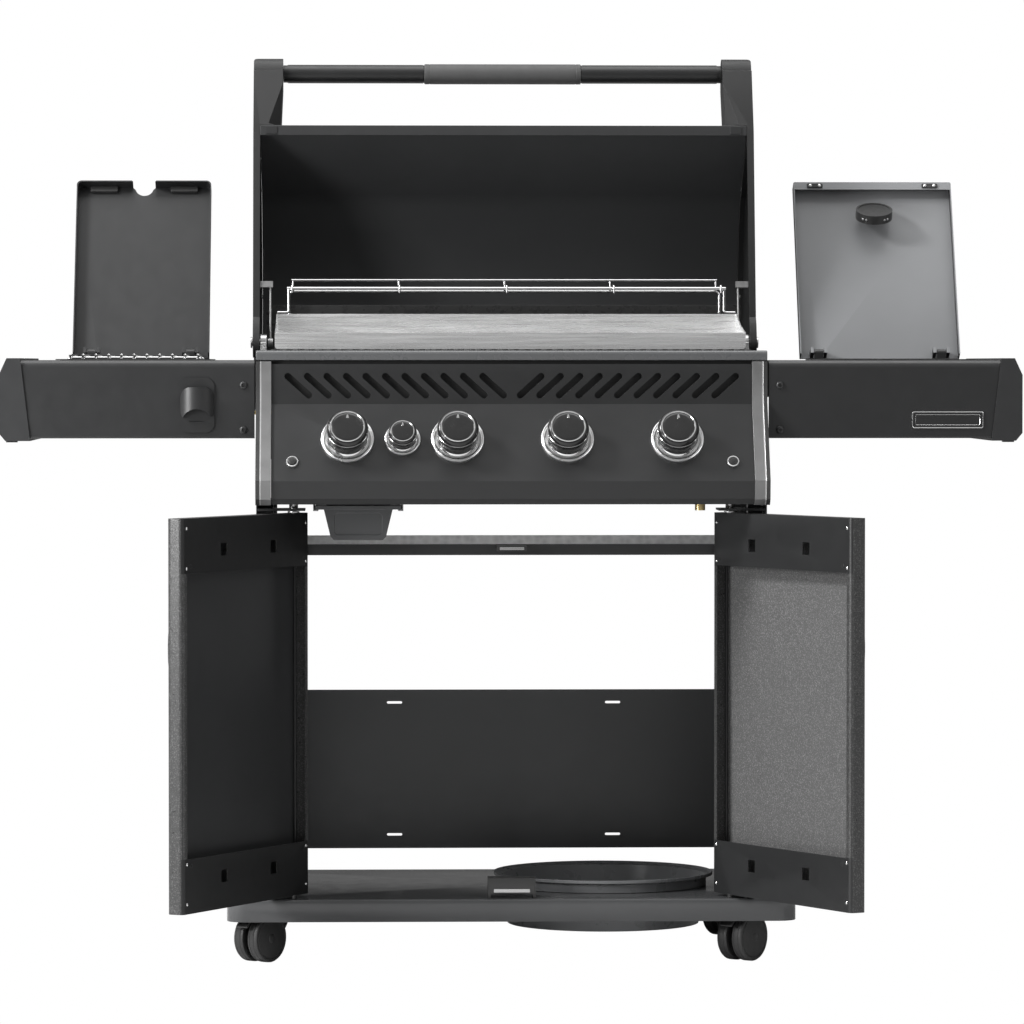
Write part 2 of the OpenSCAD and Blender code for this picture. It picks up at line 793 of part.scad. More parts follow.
// Plan of a lid end seen from above: the given inner points, then the outer side with a round front corner
module lid_end_plan(inner, out, rear = 700) {
    linear_extrude(1300) polygon(concat(
        inner, arc([out - 8, -65], 8, 270, 360, 6), [[out, rear], [inner[0][0], rear]]
    ));
}

// Wedge that bevels the inner lower edge of an arm, wider towards the lid
module arm_chamfer() {
    translate([0, 60, 955]) rotate([-15.8, 0, 0]) translate([360.5, -87, 0])
        rotate([0, 0, -17.2]) rotate([0, 50, 0]) translate([-60, -20, -60]) cube([60, 98, 60]);
}

// Y-Z outline of the hollow on the inner face of a lid end
module lid_end_pocket() {
    polygon(concat(
        [[80, 962], [140, 1108]],
        arc(lid_arc_c, lid_arc_r - 5, 145, 50, 12),
        [[492, 1066], [412, 1052], [412, 1004], [372, 1004], [372, 962]]
    ));
}

module lid_handle() {
    y = handle_c[0];
    z = handle_c[1];
    color("darkslategray") from_front() lid_opened() {
        for (s = [-1, 1]) rod_x(min(s * grip_x, s * 360), max(s * grip_x, s * 360), y, z, handle_r);
        rod_x(-grip_x, grip_x, y, z, handle_r - 4);
    }
}

module handle_grip() {
    y = handle_c[0];
    z = handle_c[1];
    color("gray") from_front() lid_opened() difference() {
        rod_x(-grip_x + gap, grip_x - gap, y, z, handle_r + 1.3);
        rod_x(-grip_x, grip_x, y, z, handle_r - 4);
    }
}

module lid_gauge() {
    color("silver") from_front() lid_opened() translate([0, 91, 1035]) rotate([64, 0, 0])
        translate([0, 0, 0.6]) rotate_extrude($fn = 96) polygon([
            [0, 0], [36, 0], [39, 3], [39, 10], [36, 13], [33, 13], [31, 9], [0, 9]
        ]);
}

module lid_stays() {
    color("silver") from_front() both_sides() {
        rod_x(376, 384, lid_pivot_y, lid_pivot_z, 7);
        translate([380, lid_pivot_y, lid_pivot_z]) rotate([-9, 0, 0]) cylinder(h = 96, r = 1.8);
        translate([380, lid_pivot_y, lid_pivot_z]) rotate([-9, 0, 0])
            translate([-4, -5, 90]) cube([20.7, 10, 10]);
    }
}

// ---- Shelf lids, laid out closed and then turned open ----

// Pressed lid of width w over height z0, with its two hinge pins; the free edge is towards -Y
module shelf_lid(w, lug, z0, r) {
    y0 = side_hinge_y - side_lid_len;
    y1 = side_hinge_y + 4;
    z1 = lid_pan_z + 2;
    difference() {
        translate([0, 0, z0]) linear_extrude(z1 - z0) round_rect([-w / 2, y0], [w / 2, y1 + 20], r);
        translate([0, 0, z0 - 1]) linear_extrude(lid_pan_z - z0 + 1)
            round_rect([-w / 2 + 2, y0 + 2], [w / 2 - 2, y1 + 30], r - 1);
        block([-w, y1, z0 - 1], [w, y1 + 60, z1 + 1]);
    }
    for (s = [-1, 1], e = [-1, 1])
        block([s * lug + e * 11 - 2.5, side_hinge_y - 7, side_hinge_z - 7],
            [s * lug + e * 11 + 2.5, y1 - 1, z1 - 1]);
    for (s = [-1, 1]) rod_x(s * lug - 12, s * lug + 12, side_hinge_y, side_hinge_z, 3);
}

module burner_lid() {
    y0 = side_hinge_y - side_lid_len;
    color("darkslategray") from_front() side_lid_opened() translate([burner_x, 0, 0]) difference() {
        shelf_lid(burner_lid_w, 80, 938.6, 8);
        translate([0, y0, 900]) linear_extrude(100) {
            translate([0, 2]) circle(15);
            polygon([[-22, -2], [22, -2], [14.5, 6], [-14.5, 6]]);
        }
    }
}

module bin_lid() {
    y0 = side_hinge_y - side_lid_len;
    color("gray") from_front() side_lid_opened() translate([bin_x, 0, 0]) {
        shelf_lid(bin_lid_w, 100, bin_lip_z, 3);
        block([-bin_lid_w / 2 + 1.5, y0 + 1.5, bin_lip_z], [bin_lid_w / 2 - 1.5, y0 + 14, bin_lip_z + 1.5]);
    }
}

module burner_lid_bumpers() {
    y0 = side_hinge_y - side_lid_len;
    z = lid_pan_z - gap;
    color("black") from_front() side_lid_opened() translate([burner_x, 0, 0])
        for (x = [-66, 66]) block([x - 22.5, y0 + 2.3, z - 6.3], [x + 22.5, y0 + 12, z]);
}

module bin_lid_bumpers() {
    y0 = side_hinge_y - side_lid_len;
    z = bin_lip_z - gap;
    color("black") from_front() side_lid_opened() translate([bin_x, 0, 0])
        for (x = [-95, 95]) block([x - 13, y0 + 3.5, z - 3.3], [x + 13, y0 + 11.5, z]);
}

// Round receiver on a foot inside the bin lid, with four probe jacks
module thermometer_hub() {
    face = [side_hinge_y - 257, side_hinge_z - 20];
    color("black") from_front() side_lid_opened() {
        translate([bin_x, face[0], face[1]]) rotate([180 - 38.4, 0, 0]) difference() {
            translate([0, 0, -15]) cylinder(h = 15, r = 30);
            translate([0, 0, -1]) cylinder(h = 2, r = 26);
            for (x = [-20, -15, 15, 20]) translate([x, 0, -8]) rotate([90, 0, 0])
                cylinder(h = 40, r = 1.6);
        }
        along_x(bin_x - 12, bin_x + 12) polygon([
            [face[0] - 10, lid_pan_z - gap], [face[0] + 8, lid_pan_z - gap],
            [face[0] + 9.5, face[1] + 11], [face[0] - 8, face[1] + 25]
        ]);
    }
}

// ---- Doors, laid out closed and then turned open ----

// Left door closed, with pins up and down at its hinge; mirrored for the right door
module door_body() {
    x0 = -cart_w / 2 + 8;
    x1 = x0 + door_w;
    z0 = door_z;
    z1 = door_z + door_h;
    plate_h = 82;
    lip = 13;
    difference() {
        translate([0, 0, z0]) linear_extrude(door_h) round_rect([x0, -door_t], [x1, 0], 7.9);
        block([x0 + sheet_t, -door_t + sheet_t, z0 + sheet_t], [x1 - sheet_t, -sheet_t, z1 - sheet_t]);
        block([x0 + lip, -door_t + sheet_t, z0 + plate_h], [x1 - lip, 1, z1 - plate_h]);
        for (z = [z0 + 49, z1 - 49], x = [x0 + 112, x0 + 262])
            block([x - 9.5, -10, z - 9.5], [x + 9.5, 1, z + 9.5]);
    }
    rod_z(z1 - 1, z1 + 7, -pin_x, 0, 4);
    rod_z(base_top - 4, z0 + 1, -pin_x, 0, 4);
    intersection() {
        block([x1 - 46, -door_t - 5, 450], [x1 - 12, -door_t + 0.5, 556]);
        rod_x(x1 - 46, x1 - 12, -door_t + 279, 503, 284);
    }
}

module door_turned(side) {
    from_front() mirror([side > 0 ? 1 : 0, 0, 0]) translate([-pin_x, 0, 0]) rotate([0, 0, -door_open])
        translate([pin_x, 0, 0]) door_body();
}
module door_left() { color("darkslategray") door_turned(-1); }
module door_right() { color("darkslategray") door_turned(1); }

// ---- Knobs and buttons ----

// Knob of base radius r and height h above the face, with its shaft into the valve
module knob(x, r, h) {
    base = h * 0.28;
    color("dimgray") from_front() on_face(x, knob_z) difference() {
        union() {
            rotate_extrude($fn = 96) polygon(concat(
                [[0, base], [r, base], [r, base + 4]],
                arc([r * 0.87 - 3, h - 3], 3, 10, 90, 4),
                [[0, h]]
            ));
            translate([0, 0, -17]) cylinder(h = base + 18, r = 4);
        }
        translate([0, r * 0.45, h]) cube([2, r * 0.6, 2], center = true);
    }
}
module knob_1() { knob(knob_xs[0], knob_r, knob_h); }
module knob_2() { knob(knob_xs[1], knob_r, knob_h); }
module knob_3() { knob(knob_xs[2], knob_r, knob_h); }
module knob_4() { knob(knob_xs[3], knob_r, knob_h); }
module knob_side_burner() { knob(small_knob_x, knob_r * 0.68, knob_h * 0.68); }

module push_button(x) {
    color("black") from_front() on_face(x, button_z) {
        translate([0, 0, -12]) cylinder(h = 18.5, r = 6.3);
        translate([0, 0, -16]) cylinder(h = 4.5, r = 5);
    }
}
module ignition_button() { push_button(-button_x); }
module light_button() { push_button(button_x); }

// ---- Casters ----

// Puts a caster part in place; parts are laid out about the swivel axis with the trail towards -Y
module at_caster(sx, i) {
    from_front() translate([sx * caster_x, caster_y[i], 0]) rotate([0, 0, swivel]) children();
}

module caster_fork() {
    color("dimgray") {
        rod_z(84, 88, 0, 0, 21);
        rod_z(86, 97, 0, 0, 5);
        along_x(-4, 4) {
            polygon([[-21, 86], [16, 86], [10, 70], [-14, 30], [-30, 28], [-36, 40], [-30, 66]]);
            translate([-trail, wheel_r]) circle(11);
        }
        rod_x(-wheel_w - 5.5, wheel_w + 5.5, -trail, wheel_r, 4);
    }
}

module caster_wheels() {
    color("darkgray") both_sides() translate([4.5, -trail, wheel_r])
        rotate([0, 90, 0]) rotate_extrude($fn = 96)
        polygon([
            [4 + run, 0.5], [12, 0.5], [13, 4], [28, 4], [30, 0], [wheel_r - 3, 0], [wheel_r, 3],
            [wheel_r, wheel_w - 5], [wheel_r - 4, wheel_w], [28, wheel_w], [25, wheel_w - 4],
            [10, wheel_w - 4], [9, wheel_w - 1], [4 + run, wheel_w - 1]
        ]);
}

module caster_brake() {
    color("black") difference() {
        union() {
            along_x(-11, 11) polygon([
                [-22, 89.6], [-42, 88], [-56.5, 75], [-58.5, 65.5], [-67.5, 56],
                [-69.5, 58], [-61, 66.8], [-59, 76.4], [-44, 90.6], [-22, 92.4]
            ]);
            for (s = [-1, 1]) block([s * 8 - 2.5, -31, 80], [s * 8 + 2.5, -22, 91.5]);
        }
        rod_x(-12, 12, -26.5, 84, 2 + run);
    }
}

module fork_with_brake_ears() {
    caster_fork();
    color("dimgray") {
        rod_x(-10.5, 10.5, -26.5, 84, 2);
        along_x(-4, 4) polygon([[-20, 86.5], [-26.5, 86.5], [-29, 84], [-29, 70], [-20, 70]]);
    }
}

module caster_fork_fl() { at_caster(-1, 0) fork_with_brake_ears(); }
module caster_fork_fr() { at_caster(1, 0) fork_with_brake_ears(); }
module caster_fork_rl() { at_caster(-1, 1) caster_fork(); }
module caster_fork_rr() { at_caster(1, 1) caster_fork(); }
module caster_wheels_fl() { at_caster(-1, 0) caster_wheels(); }
module caster_wheels_fr() { at_caster(1, 0) caster_wheels(); }
module caster_wheels_rl() { at_caster(-1, 1) caster_wheels(); }
module caster_wheels_rr() { at_caster(1, 1) caster_wheels(); }
module caster_brake_fl() { at_caster(-1, 0) caster_brake(); }
module caster_brake_fr() { at_caster(1, 0) caster_brake(); }

base_shelf();
base_frame();
tank_ring();
side_panels();
back_panel();
frame_rails();
magnet_catches();
firebox();
top_trim();
control_panel();
panel_ends();
knob_bezels();
gas_manifold();
burner_tubes();
heat_tents();
cooking_grids();
griddle_tray();
warming_rack();
grease_runners();
grease_tub();
shelf_left();
shelf_right();
shelf_bin();
shelf_end_caps();
side_burner();
side_burner_grate();
bottle_opener();
badge_plate();
shelf_bolts();
lid_pivots();
lid_shell();
lid_ends();
lid_handle();
handle_grip();
lid_gauge();
lid_stays();
burner_lid();
burner_lid_bumpers();
bin_lid();
bin_lid_bumpers();
thermometer_hub();
door_left();
door_right();
knob_1();
knob_2();
knob_3();
knob_4();
knob_side_burner();
ignition_button();
light_button();
caster_fork_fl();
caster_fork_fr();
caster_fork_rl();
caster_fork_rr();
caster_wheels_fl();
caster_wheels_fr();
caster_wheels_rl();
caster_wheels_rr();
caster_brake_fl();
caster_brake_fr();
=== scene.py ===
"""Looks of the four-burner gas grill: finishes, softened CAD skins and finer pieces on its CAD frame."""
import json
import math

import bmesh
import bpy
from mathutils import Matrix, Vector


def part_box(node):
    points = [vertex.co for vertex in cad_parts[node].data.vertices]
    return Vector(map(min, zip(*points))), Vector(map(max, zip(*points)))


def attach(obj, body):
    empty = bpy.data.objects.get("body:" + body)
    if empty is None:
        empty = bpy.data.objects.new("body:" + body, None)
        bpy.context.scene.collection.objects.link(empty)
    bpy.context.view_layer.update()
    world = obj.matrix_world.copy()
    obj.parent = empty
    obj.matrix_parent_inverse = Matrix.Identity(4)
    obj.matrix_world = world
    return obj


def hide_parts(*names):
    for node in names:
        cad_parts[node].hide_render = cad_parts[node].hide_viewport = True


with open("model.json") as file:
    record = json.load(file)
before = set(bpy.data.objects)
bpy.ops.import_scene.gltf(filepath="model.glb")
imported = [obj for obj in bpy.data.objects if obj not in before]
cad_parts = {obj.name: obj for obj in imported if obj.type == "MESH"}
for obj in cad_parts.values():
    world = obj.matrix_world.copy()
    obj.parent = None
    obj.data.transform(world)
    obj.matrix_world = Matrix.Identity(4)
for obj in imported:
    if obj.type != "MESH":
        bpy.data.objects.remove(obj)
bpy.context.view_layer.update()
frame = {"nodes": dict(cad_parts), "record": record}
MM = 0.001
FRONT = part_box("shelf_left")[0].y  # Y of the side shelves' front plane


def at(x, y, z):
    """A point in metres from millimetres, with y counted back from the shelves' front plane."""
    return Vector((x * MM, FRONT + y * MM, z * MM))


# ---- Camera, floor and light ----

LENS = 189.84
CAMERA_PLACE = at(-240.7, -8356.5, 930)
CAMERA_DOWN, CAMERA_TURN = 1.57, -1.65  # degrees below level and about Z
FLOOR_RADIUS = 40  # metres
LIGHTS = {  # name: (place, aim, size, power)
    "key": ((-2.9, -1.2, 3.3), (0, 0, 0.7), (0.9, 0.9), 170),
    "left": ((-1.95, -1.5, 1.05), (-0.5, -0.5, 0.75), (0.6, 0.8), 34),
    "fill": ((2.8, -2.6, 2.2), (0, 0, 0.6), (2.0, 2.0), 20),
    "top": ((0, 0.2, 3.6), (0, 0, 0.8), (3.0, 2.0), 60),
}


def camera():
    data = bpy.data.cameras.new("camera")
    data.sensor_width = 36
    data.lens = LENS
    data.clip_end = 100
    obj = bpy.data.objects.new("camera", data)
    obj.location = CAMERA_PLACE
    obj.rotation_euler = (math.radians(90 - CAMERA_DOWN), 0, math.radians(CAMERA_TURN))
    bpy.context.collection.objects.link(obj)
    bpy.context.scene.camera = obj


def area_light(name, place, aim, size, power):
    """A soft rectangular light turned towards a point."""
    data = bpy.data.lights.new(name, "AREA")
    data.shape = "RECTANGLE"
    data.size, data.size_y = size
    data.energy = power
    obj = bpy.data.objects.new(name, data)
    obj.location = place
    obj.rotation_euler = (Vector(aim) - Vector(place)).to_track_quat("-Z", "Y").to_euler()
    bpy.context.collection.objects.link(obj)


def surroundings():
    """White to the camera; to everything else a grey that darkens towards the horizon."""
    world = bpy.data.worlds.new("studio")
    world.use_nodes = True
    bpy.context.scene.world = world
    tree = world.node_tree
    tree.nodes.clear()
    coord = tree.nodes.new("ShaderNodeTexCoord")
    split = tree.nodes.new("ShaderNodeSeparateXYZ")
    ramp = tree.nodes.new("ShaderNodeValToRGB")
    ramp.color_ramp.elements[0].position = 0.0
    ramp.color_ramp.elements[0].color = (0.22, 0.22, 0.22, 1)
    ramp.color_ramp.elements[1].position = 0.75
    ramp.color_ramp.elements[1].color = (1, 1, 1, 1)
    path = tree.nodes.new("ShaderNodeLightPath")
    lit = tree.nodes.new("ShaderNodeBackground")
    seen = tree.nodes.new("ShaderNodeBackground")
    lit.inputs["Strength"].default_value = 0.62
    seen.inputs["Color"].default_value = (1, 1, 1, 1)
    mix = tree.nodes.new("ShaderNodeMixShader")
    out = tree.nodes.new("ShaderNodeOutputWorld")
    link = tree.links.new
    link(coord.outputs["Generated"], split.inputs[0])
    link(split.outputs["Z"], ramp.inputs[0])
    link(ramp.outputs["Color"], lit.inputs["Color"])
    link(path.outputs["Is Camera Ray"], mix.inputs[0])
    link(lit.outputs[0], mix.inputs[1])
    link(seen.outputs[0], mix.inputs[2])
    link(mix.outputs[0], out.inputs[0])


def floor_sheet():
    """A wide round sheet on the ground."""
    mesh = bpy.data.meshes.new("floor")
    bm = bmesh.new()
    bmesh.ops.create_circle(bm, cap_ends=True, radius=FLOOR_RADIUS, segments=64)
    bm.to_mesh(mesh)
    bm.free()
    floor = bpy.data.objects.new("floor", mesh)
    floor.data.materials.append(floor_finish())
    bpy.context.collection.objects.link(floor)


def studio():
    """Bright surroundings, four soft lights and a pale floor."""
    bpy.context.scene.view_settings.view_transform = "Standard"
    surroundings()
    for name, (place, aim, size, power) in LIGHTS.items():
        area_light(name, place, aim, size, power)
    floor_sheet()


# ---- Finishes ----

class Nodes:
    """Short calls for building one material's node tree."""

    def __init__(self, name):
        self.material = bpy.data.materials.new(name)
        self.material.use_nodes = True
        self.tree = self.material.node_tree
        self.shader = self.tree.nodes["Principled BSDF"]
        self.coord = self.tree.nodes.new("ShaderNodeTexCoord").outputs["Object"]

    def set(self, **values):
        for key, value in values.items():
            self.shader.inputs[key.replace("_", " ")].default_value = value

    def link(self, a, b):
        self.tree.links.new(a, b)

    def stretched(self, scale):
        """Object coordinates scaled by a vector."""
        node = self.tree.nodes.new("ShaderNodeMapping")
        node.inputs["Scale"].default_value = scale
        self.link(self.coord, node.inputs["Vector"])
        return node.outputs["Vector"]

    def noise(self, scale, detail=3.0, vector=None):
        node = self.tree.nodes.new("ShaderNodeTexNoise")
        node.inputs["Scale"].default_value = scale
        node.inputs["Detail"].default_value = detail
        self.link(vector or self.coord, node.inputs["Vector"])
        return node.outputs["Fac"]

    def cells(self, scale):
        node = self.tree.nodes.new("ShaderNodeTexVoronoi")
        node.feature = "F1"
        node.inputs["Scale"].default_value = scale
        self.link(self.coord, node.inputs["Vector"])
        return node.outputs["Distance"]

    def ramp(self, fac, low, high, a, b):
        """Grey from a to b as fac goes from low to high."""
        node = self.tree.nodes.new("ShaderNodeMapRange")
        node.inputs["From Min"].default_value = low
        node.inputs["From Max"].default_value = high
        node.inputs["To Min"].default_value = a
        node.inputs["To Max"].default_value = b
        self.link(fac, node.inputs["Value"])
        return node.outputs["Result"]

    def blend(self, fac, a, b):
        """Colour from a to b by fac; a and b are greys, colours or sockets."""
        node = self.tree.nodes.new("ShaderNodeMix")
        node.data_type = "RGBA"
        self.link(fac, node.inputs["Factor"])
        for value, key in ((a, 6), (b, 7)):
            if isinstance(value, bpy.types.NodeSocket):
                self.link(value, node.inputs[key])
            else:
                grey = value if isinstance(value, tuple) else (value, value, value)
                node.inputs[key].default_value = (*grey, 1)
        return node.outputs[2]

    def edges(self):
        """1 on convex edges, 0 elsewhere."""
        geometry = self.tree.nodes.new("ShaderNodeNewGeometry")
        return self.ramp(geometry.outputs["Pointiness"], 0.53, 0.62, 0, 1)

    def bump(self, height, strength, distance, normal=None):
        node = self.tree.nodes.new("ShaderNodeBump")
        node.inputs["Strength"].default_value = strength
        node.inputs["Distance"].default_value = distance
        self.link(height, node.inputs["Height"])
        if normal:
            self.link(normal, node.inputs["Normal"])
        return node.outputs["Normal"]

    def color(self, socket):
        self.link(socket, self.shader.inputs["Base Color"])

    def rough(self, socket):
        self.link(socket, self.shader.inputs["Roughness"])

    def normal(self, socket):
        self.link(socket, self.shader.inputs["Normal"])


def tinted(grey, tint):
    """A grey with each channel raised or lowered by a share."""
    return tuple(grey * (1 + t) for t in tint)


COOL = (-0.02, 0.0, 0.03)


def floor_finish():
    """Pale grey paper that shows white to the camera."""
    n = Nodes("floor_paper")
    n.color(n.blend(n.noise(3), 0.62, 0.66))
    n.rough(n.ramp(n.noise(20), 0.3, 0.7, 0.6, 0.7))
    path = n.tree.nodes.new("ShaderNodeLightPath")
    glow = n.tree.nodes.new("ShaderNodeEmission")
    mix = n.tree.nodes.new("ShaderNodeMixShader")
    n.link(path.outputs["Is Camera Ray"], mix.inputs[0])
    n.link(n.shader.outputs[0], mix.inputs[1])
    n.link(glow.outputs[0], mix.inputs[2])
    n.link(mix.outputs[0], n.tree.nodes["Material Output"].inputs["Surface"])
    return n.material


def powder(name, grey, rough, peel=0.3, wave=0.06):
    """Satin powder coat: fine orange peel, a broad wave, slightly uneven gloss and paler worn edges."""
    n = Nodes(name)
    body = n.blend(n.noise(7), tinted(grey * 0.88, COOL), tinted(grey * 1.12, COOL))
    n.color(n.blend(n.edges(), body, tinted(grey * 1.25 + 0.002, COOL)))
    n.rough(n.ramp(n.noise(45, 5), 0.3, 0.7, rough - 0.02, rough + 0.04))
    n.normal(n.bump(n.noise(1100, 2), peel, 0.00012, n.bump(n.noise(120, 2), wave, 0.0004)))
    return n.material


def speckled(name, grey, rough):
    """Two-tone textured coat with pale flecks."""
    n = Nodes(name)
    fleck = n.ramp(n.cells(900), 0.10, 0.28, 1, 0)
    body = n.blend(n.noise(350, 4), grey * 0.72, grey * 1.28)
    n.color(n.blend(n.ramp(n.noise(520, 2), 0.52, 0.66, 0, 1), body, grey * 2.0 + 0.03))
    n.rough(n.ramp(n.noise(160, 3), 0.3, 0.7, rough - 0.08, rough + 0.1))
    n.normal(n.bump(fleck, 0.35, 0.0003, n.bump(n.noise(240, 3), 0.25, 0.0004)))
    return n.material


def brushed(name, grey, rough, along, metal=1.0):
    """Brushed steel, its grain along X, Y or Z."""
    n = Nodes(name)
    n.set(Metallic=metal, Anisotropic=0.55)
    fine = [900.0, 900.0, 900.0]
    fine["XYZ".index(along)] = 9.0
    broad = [130.0, 130.0, 130.0]
    broad["XYZ".index(along)] = 3.0
    grain = n.noise(1, 4, n.stretched(fine))
    streak = n.noise(1, 3, n.stretched(broad))
    n.color(n.blend(streak, grey * 0.86, grey * 1.1))
    n.rough(n.ramp(grain, 0.3, 0.7, rough - 0.07, rough + 0.09))
    n.normal(n.bump(grain, 0.18, 0.0001))
    return n.material


def plated(name, grey, rough=0.09, ripple=0.05):
    """Polished plating with faint smears and a slight ripple."""
    n = Nodes(name)
    n.set(Metallic=1.0)
    n.color(n.blend(n.noise(60, 4), grey * 0.93, grey * 1.03))
    n.rough(n.ramp(n.noise(35, 5), 0.35, 0.75, rough, rough + 0.09))
    n.normal(n.bump(n.noise(160, 2), ripple, 0.0002))
    return n.material


def moulded(name, grey, rough, grain=650, strength=0.25):
    """Moulded plastic or rubber with a fine texture and worn edges."""
    n = Nodes(name)
    body = n.blend(n.noise(30, 4), grey * 0.85, grey * 1.2)
    n.color(n.blend(n.edges(), body, grey * 1.8 + 0.012))
    n.rough(n.ramp(n.noise(80, 4), 0.3, 0.7, rough - 0.06, rough + 0.08))
    n.normal(n.bump(n.noise(grain, 3), strength, 0.0002))
    return n.material


def cast(name, grey, rough, metal=0.0):
    """Cast and coated metal with a coarse skin."""
    n = Nodes(name)
    n.set(Metallic=metal)
    body = n.blend(n.noise(25, 5), grey * 0.8, grey * 1.18)
    n.color(n.blend(n.edges(), body, grey * 1.5 + 0.02))
    n.rough(n.ramp(n.noise(90, 4), 0.3, 0.7, rough - 0.06, rough + 0.1))
    n.normal(n.bump(n.noise(420, 4), 0.35, 0.0003))
    return n.material


def cast_with_painted_ridge_light(name, grey, rough, low, high):
    """Cast end piece with a painted highlight on its ridge and painted shade on a darker strip outside it.

    The ridge lies between low and high, its distances in metres from the centre plane."""
    step = 0.0006  # width over which the tone changes
    n = Nodes(name)
    n.set(Metallic=0.6)
    split = n.tree.nodes.new("ShaderNodeSeparateXYZ")
    n.link(n.coord, split.inputs[0])
    aside = n.tree.nodes.new("ShaderNodeMath")
    aside.operation = "ABSOLUTE"
    n.link(split.outputs["X"], aside.inputs[0])
    distance = aside.outputs[0]
    painted_highlight_ridge = n.ramp(distance, low - step, low, 0, 1)
    painted_shade_strip = n.ramp(distance, high, high + step, 0, 1)
    body = n.blend(n.noise(25, 5), grey * 0.82, grey * 1.15)
    # Painted highlight: the ridge is drawn at 2.2 times the body's grey. Painted shade: the strip outside it
    # is drawn at 0.3 times.
    n.color(n.blend(painted_shade_strip, n.blend(painted_highlight_ridge, body, grey * 2.2), grey * 0.3))
    n.rough(n.ramp(n.noise(90, 4), 0.3, 0.7, rough - 0.06, rough + 0.1))
    n.normal(n.bump(n.noise(420, 4), 0.25, 0.0003, n.bump(painted_shade_strip, 0.5, 0.001)))
    return n.material


def spangled(name, grey, rough, metal=1.0):
    """Galvanised sheet with zinc spangle."""
    n = Nodes(name)
    n.set(Metallic=metal)
    n.color(n.blend(n.cells(90), grey * 0.8, grey * 1.15))
    n.rough(n.ramp(n.cells(70), 0.0, 0.6, rough - 0.08, rough + 0.1))
    n.normal(n.bump(n.noise(300, 3), 0.12, 0.0002))
    return n.material


def machined(name, tint, rough):
    """Turned brass."""
    n = Nodes(name)
    n.set(Metallic=1.0)
    dark = tuple(c * 0.85 for c in tint)
    n.color(n.blend(n.noise(50, 4), dark, tint))
    n.rough(n.ramp(n.noise(120, 4), 0.3, 0.7, rough - 0.06, rough + 0.08))
    n.normal(n.bump(n.noise(700, 2), 0.15, 0.0002))
    return n.material


FINISH = {
    "satin_black": powder("satin_black", 0.016, 0.36),
    "light_paint": powder("light_paint", 0.060, 0.24),
    "dark_paint": powder("dark_paint", 0.014, 0.40),
    "cast_grey": cast("cast_grey", 0.30, 0.36, 0.6),
    "enamel": cast("enamel", 0.020, 0.28),
    "stainless": brushed("stainless", 0.62, 0.30, "X"),
    "galvanised": spangled("galvanised", 0.45, 0.42),
    "chrome": plated("chrome", 0.72),
    "knob_black": moulded("knob_black", 0.012, 0.20, 300, 0.06),
    "grip_grey": moulded("grip_grey", 0.050, 0.62, 420, 0.5),
    "brass": machined("brass", (0.72, 0.56, 0.27), 0.33),
    "cast_iron": cast("cast_iron", 0.022, 0.5),
    "black_plastic": moulded("black_plastic", 0.018, 0.42),
    "wheel_grey": moulded("wheel_grey", 0.022, 0.5),
    "rubber": moulded("rubber", 0.016, 0.7, 500, 0.35),
}


# ---- Building pieces ----

def node_slot(node):
    """The record's material slot of a CAD node."""
    return next(p["material_slot"] for p in frame["record"]["subparts"] if p["node"] == node)


def node_body(node):
    """The body that a CAD node rides on."""
    return next(b for b, nodes in frame["record"]["behaviour"]["bodies"].items() if node in nodes)


def soften(obj, width, angle):
    """Rounds an object's edges by width millimetres and shades it smooth between them."""
    if width:
        bevel = obj.modifiers.new("round", "BEVEL")
        bevel.width = width * MM
        bevel.segments = 2
        bevel.limit_method = "ANGLE"
        bevel.angle_limit = math.radians(angle)
        weighted = obj.modifiers.new("flat", "WEIGHTED_NORMAL")
        weighted.weight = 100
        weighted.keep_sharp = True
    for face in obj.data.polygons:
        face.use_smooth = True
    obj.data.set_sharp_from_angle(angle=math.radians(angle))


def finished(obj, body, slot, width=0.5, stands_for=(), material=None, angle=32):
    """Gives a new piece its finish, rounding and body."""
    bpy.context.collection.objects.link(obj)
    obj.data.materials.clear()
    obj.data.materials.append(material or FINISH[slot])
    soften(obj, width, angle)
    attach(obj, body)
    if stands_for:
        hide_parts(*stands_for)
    return obj


def zone(obj, material, test):
    """Gives a second finish to the faces whose centre in millimetres and normal pass a test."""
    obj.data.materials.append(material)
    index = len(obj.data.materials) - 1
    low = Vector((0, FRONT, 0))
    for face in obj.data.polygons:
        if test((face.center - low) / MM, face.normal):
            face.material_index = index


def skin(node, width=0.5, material=None, angle=32, cuts=()):
    """A welded, softened copy of a CAD node that stands for it, its faces split at the given heights."""
    mesh = frame["nodes"][node].data.copy()
    bm = bmesh.new()
    bm.from_mesh(mesh)
    bmesh.ops.remove_doubles(bm, verts=bm.verts, dist=1e-5)
    bmesh.ops.dissolve_limit(bm, angle_limit=math.radians(0.4), verts=bm.verts, edges=bm.edges)
    for z in cuts:
        parts = [*bm.verts, *bm.edges, *bm.faces]
        bmesh.ops.bisect_plane(bm, geom=parts, plane_co=(0, 0, z * MM), plane_no=(0, 0, 1), dist=1e-6)
    bm.to_mesh(mesh)
    bm.free()
    if "custom_normal" in mesh.attributes:
        mesh.attributes.remove(mesh.attributes["custom_normal"])
    obj = bpy.data.objects.new(node + "_skin", mesh)
    return finished(obj, node_body(node), node_slot(node), width, (node,), material, angle)


def mesh_piece(name, verts, faces):
    """An object from points in millimetres and faces."""
    mesh = bpy.data.meshes.new(name)
    mesh.from_pydata([Vector(v) * MM for v in verts], [], faces)
    bm = bmesh.new()
    bm.from_mesh(mesh)
    bmesh.ops.remove_doubles(bm, verts=bm.verts, dist=1e-6)
    bmesh.ops.recalc_face_normals(bm, faces=bm.faces)
    bm.to_mesh(mesh)
    bm.free()
    return bpy.data.objects.new(name, mesh)


def placed(obj, place):
    """Moves an object's mesh by a matrix and leaves the object at the origin."""
    obj.data.transform(place)
    if place.determinant() < 0:
        obj.data.flip_normals()
    return obj


